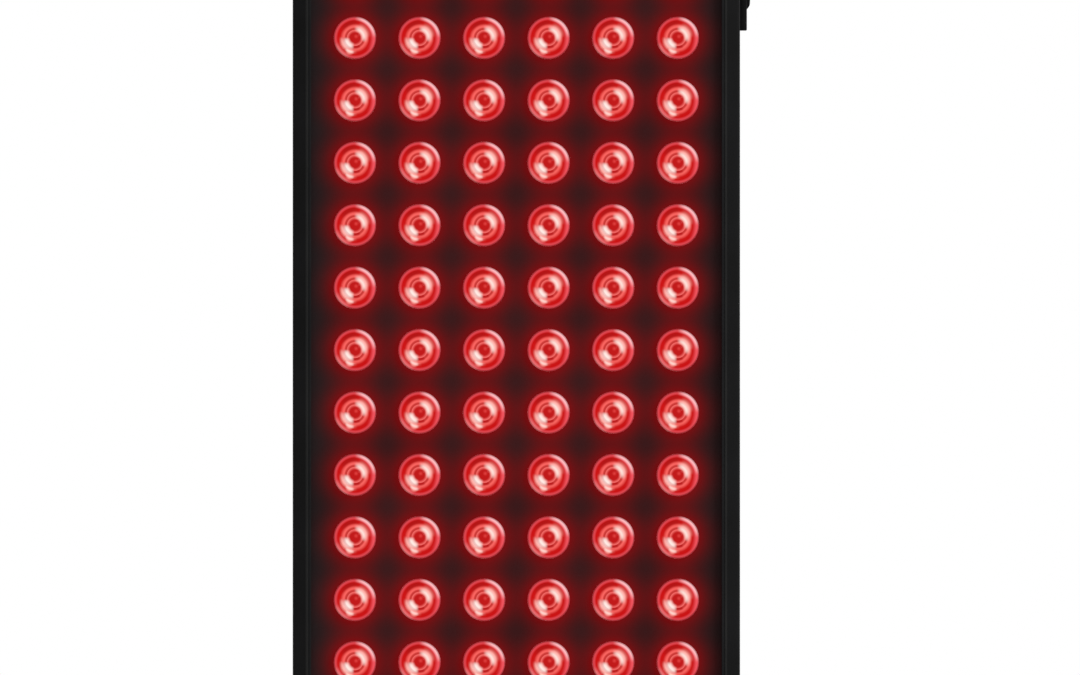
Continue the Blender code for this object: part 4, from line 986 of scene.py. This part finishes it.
def make_back_cover():
    """Cover sheet with fan grilles, intake slots and countersunk screws."""
    width = COVER_HIGH.x - COVER_LOW.x
    height = COVER_HIGH.z - COVER_LOW.z
    loops = [rounded(rectangle(width, height), COVER_CORNER)]
    for name in ("upper", "lower"):
        loops += grille_loops(fan_z(name) - MIDDLE_Z)
    for row in range(INTAKE_ROW_COUNT):
        z = (row - (INTAKE_ROW_COUNT - 1) / 2) * INTAKE_PITCH
        for side in (-1, 1):
            x = side * (INTAKE_COLUMN_GAP + INTAKE_LENGTH) / 2
            loops.append(rounded(rectangle(INTAKE_LENGTH, INTAKE_WIDTH, (x, z)), INTAKE_WIDTH / 2, 5))
    places = cover_screw_places()
    loops += [circle(SCREW_HEAD_RADIUS + SCREW_HEAD_ROOM, 24, place) for place in places]
    cover = front_plate(loops, COVER_LOW.y, COVER_HIGH.y, SHEET_EDGE, MIDDLE_Z)
    add_piece("cover_sheet", cover, powder_coat, ["back_cover"])
    screw = flush_screw()
    screws = bmesh.new()
    for x, z in places:
        join_copy(screws, screw, (-x, COVER_HIGH.y, MIDDLE_Z + z))
    screw.free()
    add_piece("cover_screws", screws, black_steel)


def screw_head(height, edge, centre=(0, 0, 0)):
    """Round screw head with a cross recess, square to Y."""
    loops = [circle(SCREW_HEAD_RADIUS, 24), cross_loop(CROSS_REACH, CROSS_HALF_WIDTH)]
    return plate(loops, height, edge, "Y", centre)


def flush_screw():
    """Countersunk screw, whose head lies in the XZ plane at Y 0 and whose shank points to -Y."""
    screw = screw_head(FLUSH_HEAD_HEIGHT, FLUSH_HEAD_EDGE, (0, FLUSH_HEAD_MIDDLE, 0))
    shank = [(0, -0.68), (2.5, -0.68), (1.3, -1.6), (1.3, -4), (0, -4)]
    join(screw, turned(in_metres(shank), 20, "Y"))
    return screw


# Switch


def make_switch_body():
    """Switch body with its bezel, and the open well that the rocker sits in."""
    middle = (FITTINGS_Y, SWITCH_Z)
    window = rounded(rectangle(*WINDOW_SIZE), WINDOW_CORNER)
    bezel = rounded(rectangle(*BEZEL_SIZE), BEZEL_CORNER)
    barrel = rounded(rectangle(*BARREL_SIZE), BARREL_CORNER)
    body = side_plate([bezel, window], BEZEL_BACK, BEZEL_FACE, BEZEL_EDGE, middle)
    join(body, side_plate([barrel, window], WELL_FLOOR, BEZEL_BACK + BARREL_OVERLAP, THIN_EDGE, middle))
    join(body, side_plate([barrel], SWITCH_BACK, WELL_FLOOR, THIN_EDGE, middle))
    add_piece("switch_shell", body, black_plastic, ["switch_body"])


def make_rocker():
    """Rocker with a sloping pad above and a flat one below, the valley between them, and its marks."""
    half = ROCKER_HALF_LENGTH
    pad_low = 3.68 * MM
    pad_high = 2.90 * MM
    pad_start = 2.3 * MM
    pad_end = half - 0.3 * MM
    tip = [(pad_high, pad_end), (pad_high - 0.4 * MM, half), (-0.8 * MM, half)]
    upper = [(3.00 * MM, 0.60 * MM), (3.30 * MM, 1.15 * MM), (pad_low, pad_start), *tip]
    lower = [(x, -z) for x, z in reversed([(pad_high, pad_start), *tip])]
    valley = [(2.45 * MM, -0.7 * MM), (2.65 * MM, 0)]
    outline = [(-x, z) for x, z in upper + [(-3.2 * MM, 0)] + lower + valley]
    rocker = plate([rounded(outline, 0.5 * MM, 3)], ROCKER_WIDTH, 0.3 * MM, "Y", (0, 0, 0), 2)
    pad_slope = math.atan((pad_low - pad_high) / (pad_end - pad_start))
    pad_middle = (pad_start + pad_end) / 2
    marks = bmesh.new()
    bar = [rectangle(0.42 * MM, 2.4 * MM)]
    ring = [circle(1.2 * MM, 28), circle(0.85 * MM, 28)]
    on_pad = (bar, 1, pad_slope, (pad_low + pad_high) / 2)
    off_pad = (ring, -1, 0, pad_high)
    mark_rise = 0.05 * MM
    for loops, side, slope, height in (on_pad, off_pad):
        mark = side_plate(loops, -mark_rise, mark_rise, mark_rise / 5, (0, 0))
        bmesh.ops.rotate(mark, matrix=Matrix.Rotation(-slope, 3, "Y"), verts=mark.verts)
        join(marks, mark, (height, 0, side * pad_middle))
    tilt = Matrix.Rotation(math.radians(ROCKER_TILT_DEG), 3, "Y")
    for shape in (rocker, marks):
        put(shape, tilt, (PIVOT_X, FITTINGS_Y, SWITCH_Z))
    add_piece("rocker_shell", rocker, black_plastic, ["switch_rocker"], body="rocker")
    add_piece("rocker_marks", marks, white_paint, body="rocker")


# Mains inlet


def make_inlet():
    """Inlet body with a rounded flange, the socket and the slot for the fuse drawer."""
    right = SOCKET_WIDTH / 2
    top = SOCKET_HEIGHT / 2
    socket = [(right, top), (right, SOCKET_CUT - top), (right - SOCKET_CUT, -top)]
    socket += [(-y, z) for y, z in reversed(socket)]
    socket = [(y, z + SOCKET_Z - INLET_Z) for y, z in reversed(rounded(socket, SOCKET_CORNER, 5))]
    slot = rectangle(*DRAWER_SLOT, (0, DRAWER_Z - INLET_Z))
    flange = rounded(rectangle(*FLANGE_SIZE), FLANGE_CORNER, 6)
    block = rounded(rectangle(*BLOCK_SIZE), BLOCK_CORNER)
    middle = (FITTINGS_Y, INLET_Z)
    floor = INLET_FACE - SOCKET_DEPTH
    flange_back = INLET_FACE - FLANGE_THICKNESS
    body = side_plate([flange, socket, slot], BEZEL_BACK, INLET_FACE, THICK_EDGE, middle)
    join(body, side_plate([block, socket, slot], floor, flange_back, THIN_EDGE, middle))
    join(body, side_plate([block], INLET_BACK, floor, THIN_EDGE, middle))
    add_piece("inlet_shell", body, black_plastic, ["mains_inlet"])
    for name in ("live", "neutral", "earth"):
        node = f"inlet_{name}_pin"
        add_piece(f"{name}_pin_blade", softened_copy(node, THICK_EDGE), brass, [node])


def make_fuse_drawer():
    """Fuse drawer with softened edges and a ridge to pull it by."""
    drawer = softened_copy("fuse_drawer", DRAWER_EDGE)
    face_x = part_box("fuse_drawer")[1].x
    ridge = rounded(rectangle(*RIDGE_SIZE), RIDGE_CORNER)
    middle = (FITTINGS_Y, DRAWER_Z)
    join(drawer, side_plate([ridge], face_x - RIDGE_EDGE, face_x + RIDGE_RISE, RIDGE_EDGE, middle))
    add_piece("drawer_shell", drawer, black_plastic, ["fuse_drawer"], body="fuse_carrier")


def rod_profile(radius, start, end):
    """Profile of a plain round rod."""
    return [(0, start), (radius, start), (radius, end), (0, end)]


def make_fuse():
    """Glass fuse: metal caps, the wire between them, and the tube that reaches into both."""
    low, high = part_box("fuse")
    centre = ((low.x + high.x) / 2, 0, (low.z + high.z) / 2)
    radius = (high.x - low.x) / 2 - FUSE_ROOM
    edge = FUSE_CAP_EDGE
    first = low.y + FUSE_CAP_LENGTH
    second = high.y - FUSE_CAP_LENGTH
    caps = bmesh.new()
    for start, end in ((low.y, first), (second, high.y)):
        profile = [(0, start), (radius - edge, start), (radius, start + edge)]
        profile += [(radius, end - edge), (radius - edge, end), (0, end)]
        join(caps, turned(profile, 24, "Y", centre))
    join(caps, turned(rod_profile(FUSE_WIRE_RADIUS, first, second), 8, "Y", centre))
    tube_ends = (first - FUSE_TUBE_OVERLAP, second + FUSE_TUBE_OVERLAP)
    tube = turned(rod_profile(radius - edge / 2, *tube_ends), 24, "Y", centre)
    add_piece("fuse_caps", caps, steel, ["fuse"], body="fuse_carrier")
    add_piece("fuse_tube", tube, fuse_glass, body="fuse_carrier")


# Eyes, nuts and feet


def make_eye(side_name):
    """Forged eye bolt and the nut inside the top rail."""
    low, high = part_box(f"{side_name}_hanging_eye")
    x = (low.x + high.x) / 2
    reach = EYE_RING_RADIUS + EYE_WIRE_RADIUS
    eye = bmesh.new()
    section = bmesh.ops.create_circle(eye, segments=20, radius=EYE_WIRE_RADIUS)["verts"]
    bmesh.ops.translate(eye, vec=(EYE_RING_RADIUS, 0, 0), verts=section)
    full_turn(eye, (0, 1, 0), 56)
    bmesh.ops.translate(eye, vec=(x, 0, high.z - reach), verts=eye.verts)
    seat = high.z - 2 * reach - EYE_RING_SINK
    collar = [(0, 3.2), (2.4, 3.2), (3.0, 2.2), (4.4, 1.9), (5.3, 1.6), (5.5, 1.2), (5.5, 0.3), (5.2, 0)]
    profile = in_metres([*collar, (2.5, 0)], seat)
    thread = seat - THREAD_PITCH / 2
    while thread > low.z + THREAD_PITCH:
        profile += [(2.15 * MM, thread), (2.5 * MM, thread - THREAD_PITCH / 2)]
        thread -= THREAD_PITCH
    profile += [(2.2 * MM, low.z), (0, low.z)]
    join(eye, turned(profile, 32, "Z", (x, 0, 0)))
    add_piece(f"{side_name}_eye_bolt", eye, steel, [f"{side_name}_hanging_eye"])
    node = f"{side_name}_eye_nut"
    add_piece(f"{side_name}_nut", softened_copy(node, EYE_NUT_EDGE, 45), steel, [node])


def make_foot(node):
    """Rubber foot with a rounded sole and a hollow in the middle."""
    low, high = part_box(node)
    centre = ((low.x + high.x) / 2, (low.y + high.y) / 2, 0)
    top = high.z / MM
    profile = [(0, top), (7.5, top), (7.8, top - 0.3), (7.0, 0.7), (6.8, 0.3), (6.4, 0.05), (6.0, 0)]
    profile += [(3.6, 0), (3.3, 0.2), (3.0, 1.2), (0, 1.2)]
    shape = turned(in_metres(profile), 40, "Z", centre)
    add_piece(node.replace("foot_", "pad_"), shape, rubber, [node])


# Drivers


def make_driver(side_name):
    """Driver case with softened edges, and a pan head screw in each of its tabs."""
    node = f"{side_name}_driver"
    low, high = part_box(node)
    case = softened_copy(node, DRIVER_EDGE)
    add_piece(f"{side_name}_driver_case", case, driver_case, [node])
    screws = bmesh.new()
    middle_y = low.y + DRIVER_TAB_THICKNESS + PAN_HEAD_HEIGHT / 2
    for z in (low.z + DRIVER_TAB / 2, high.z - DRIVER_TAB / 2):
        join(screws, screw_head(PAN_HEAD_HEIGHT, PAN_HEAD_EDGE), ((low.x + high.x) / 2, middle_y, z))
    add_piece(f"{side_name}_driver_screws", screws, steel)


# Picture: camera, light and floor


def make_camera():
    """Camera square to the face, far off with a long lens, as in the photograph."""
    data = bpy.data.cameras.new("camera")
    data.lens = FOCAL_LENGTH_MM
    data.sensor_width = SENSOR_WIDTH_MM
    data.clip_end = CLIP_END
    camera = add_object("camera", data)
    front = cad_box[0].y
    distance = PICTURE_WIDTH * FOCAL_LENGTH_MM / SENSOR_WIDTH_MM
    camera.location = (PICTURE_RIGHT, front - distance, MIDDLE_Z + PICTURE_UP)
    camera.rotation_euler = (math.pi / 2, 0, 0)
    bpy.context.scene.camera = camera


def make_lamp(name, place, size, power):
    """Soft square lamp that looks at the middle of the panel."""
    data = bpy.data.lights.new(name, "AREA")
    data.size = size
    data.energy = power
    lamp = add_object(name, data)
    lamp.location = place
    aim = Vector((0, 0, MIDDLE_Z)) - Vector(place)
    lamp.rotation_euler = aim.to_track_quat("-Z", "Y").to_euler()


def make_world():
    """Even light all round, with a plain white background for the camera and for reflections."""
    world = bpy.data.worlds.new("studio")
    world.use_nodes = True
    tree = world.node_tree
    ambient = tree.nodes["Background"]
    white = add_node(tree, "Background")
    for background, level in ((ambient, AMBIENT_LEVEL), (white, 1.0)):
        background.inputs["Color"].default_value = (1, 1, 1, 1)
        background.inputs["Strength"].default_value = level
    rays = add_node(tree, "LightPath").outputs
    seen = calc(tree, "MAXIMUM", rays["Is Camera Ray"], rays["Is Glossy Ray"])
    seen = calc(tree, "MAXIMUM", seen, rays["Is Transmission Ray"])
    mix = add_node(tree, "MixShader")
    feed(tree, mix.inputs[0], seen)
    feed(tree, mix.inputs[1], ambient.outputs[0])
    feed(tree, mix.inputs[2], white.outputs[0])
    feed(tree, tree.nodes["World Output"].inputs["Surface"], mix.outputs[0])
    bpy.context.scene.world = world


def make_floor():
    """Plain pale floor under the feet."""
    bm = bmesh.new()
    bmesh.ops.create_grid(bm, x_segments=1, y_segments=1, size=FLOOR_SIZE / 2)
    mesh = mesh_from(bm, "floor")
    mesh.materials.append(start_material("pale floor", Roughness=0.7, Base_Color=(*FLOOR_COLOUR, 1))[0])
    floor = add_object("floor", mesh)


def paint(material, *words):
    """Give a material to the CAD nodes that have one of the words in their names."""
    for name, node in NODES.items():
        if any(word in name for word in words):
            if not node.material_slots:
                node.data.materials.append(material)
            for slot in node.material_slots:
                slot.material = material


make_camera()
make_world()
make_lamp("key", KEY_PLACE, KEY_SIZE, KEY_POWER)
make_lamp("back", BACK_PLACE, BACK_SIZE, BACK_POWER)
make_floor()
bpy.context.scene.view_settings.view_transform = "Standard"

# The powder coat's lighter edges are partly rubbed, partly a painted highlight of the light that the edges
# catch
powder_coat = grained_material(
    "black powder coat", (24, 24, 24), (28, 28, 29), 0.46, 2200.0, 0.25, specular=0.02, rubbed_and_sheen_colour=(44, 44, 44)
)
black_plastic = grained_material(
    "black plastic", (16, 16, 16), (22, 22, 22), 0.36, 3000.0, 0.12, specular=0.05
)
fan_plastic = grained_material("fan plastic", (30, 30, 30), (38, 38, 39), 0.5, 2600.0, 0.15, specular=0.2)
rubber = grained_material("foot rubber", (22, 22, 22), (32, 32, 32), 0.82, 1500.0, 0.3, specular=0.1)
driver_case = grained_material("driver case", (170, 172, 171), (190, 192, 190), 0.45, 900.0, 0.1)
board_mask = grained_material("board mask", (225, 226, 222), (236, 236, 232), 0.35, 1200.0, 0.05)
white_paint = grained_material("white paint", (205, 205, 205), (220, 220, 220), 0.5, 1200.0, 0.05)
black_steel = brushed_material("blackened steel", (0.05, 0.05, 0.05, 1), (0.09, 0.09, 0.09, 1), 0.4)
aluminium = brushed_material(
    "mill aluminium", (0.52, 0.53, 0.54, 1), (0.66, 0.67, 0.68, 1), 0.38, (1600.0, 1600.0, 40.0)
)
steel = brushed_material("zinc plated steel", (0.24, 0.24, 0.23, 1), (0.36, 0.36, 0.35, 1), 0.32)
brass = brushed_material("brass", (0.56, 0.38, 0.13, 1), (0.72, 0.52, 0.22, 1), 0.28, (400.0, 400.0, 400.0))
# The bead's lighter grey is partly a painted highlight: the light line that the lips' inner edge catches
bead_grey = grained_material("bead", (36, 36, 36), (41, 41, 41), 0.5, 2200.0, 0.1, specular=0.02)
gasket_black = grained_material(
    "gasket rubber", (29, 29, 30), (34, 34, 35), 0.7, 1500.0, 0.15, specular=0.02
)
fuse_glass = glass_material()
face = face_material()
lens = lens_material()

paint(powder_coat, "_rail")
paint(aluminium, "corner_key", "carrier_plate", "_heat_sink")
paint(brass, "_terminal")
for colour, dark, light, leads in (
    ("brown", (82, 46, 26), (100, 58, 34), ("live_lead", "switched_lead")),
    ("blue", (30, 62, 150), (40, 78, 172), ("neutral_lead",)),
    ("red", (165, 24, 24), (188, 32, 32), ("_led_lead", "_fan_lead")),
):
    paint(grained_material(f"{colour} insulation", dark, light, 0.5, 900.0, 0.08), *leads)
striped = striped_material("green insulation with a yellow stripe", (46, 130, 56), (226, 200, 40), 0.005)
paint(striped, "earth_lead")

make_face()
make_lip_trim()
make_modules()
for fan in ("upper", "lower"):
    make_fan_frame(fan)
    make_fan_rotor(fan)
make_back_cover()
make_switch_body()
make_rocker()
make_inlet()
make_fuse_drawer()
make_fuse()
for side_of_panel in ("left", "right"):
    make_eye(side_of_panel)
    make_driver(side_of_panel)
for foot in [name for name in NODES if name.startswith("foot_")]:
    make_foot(foot)
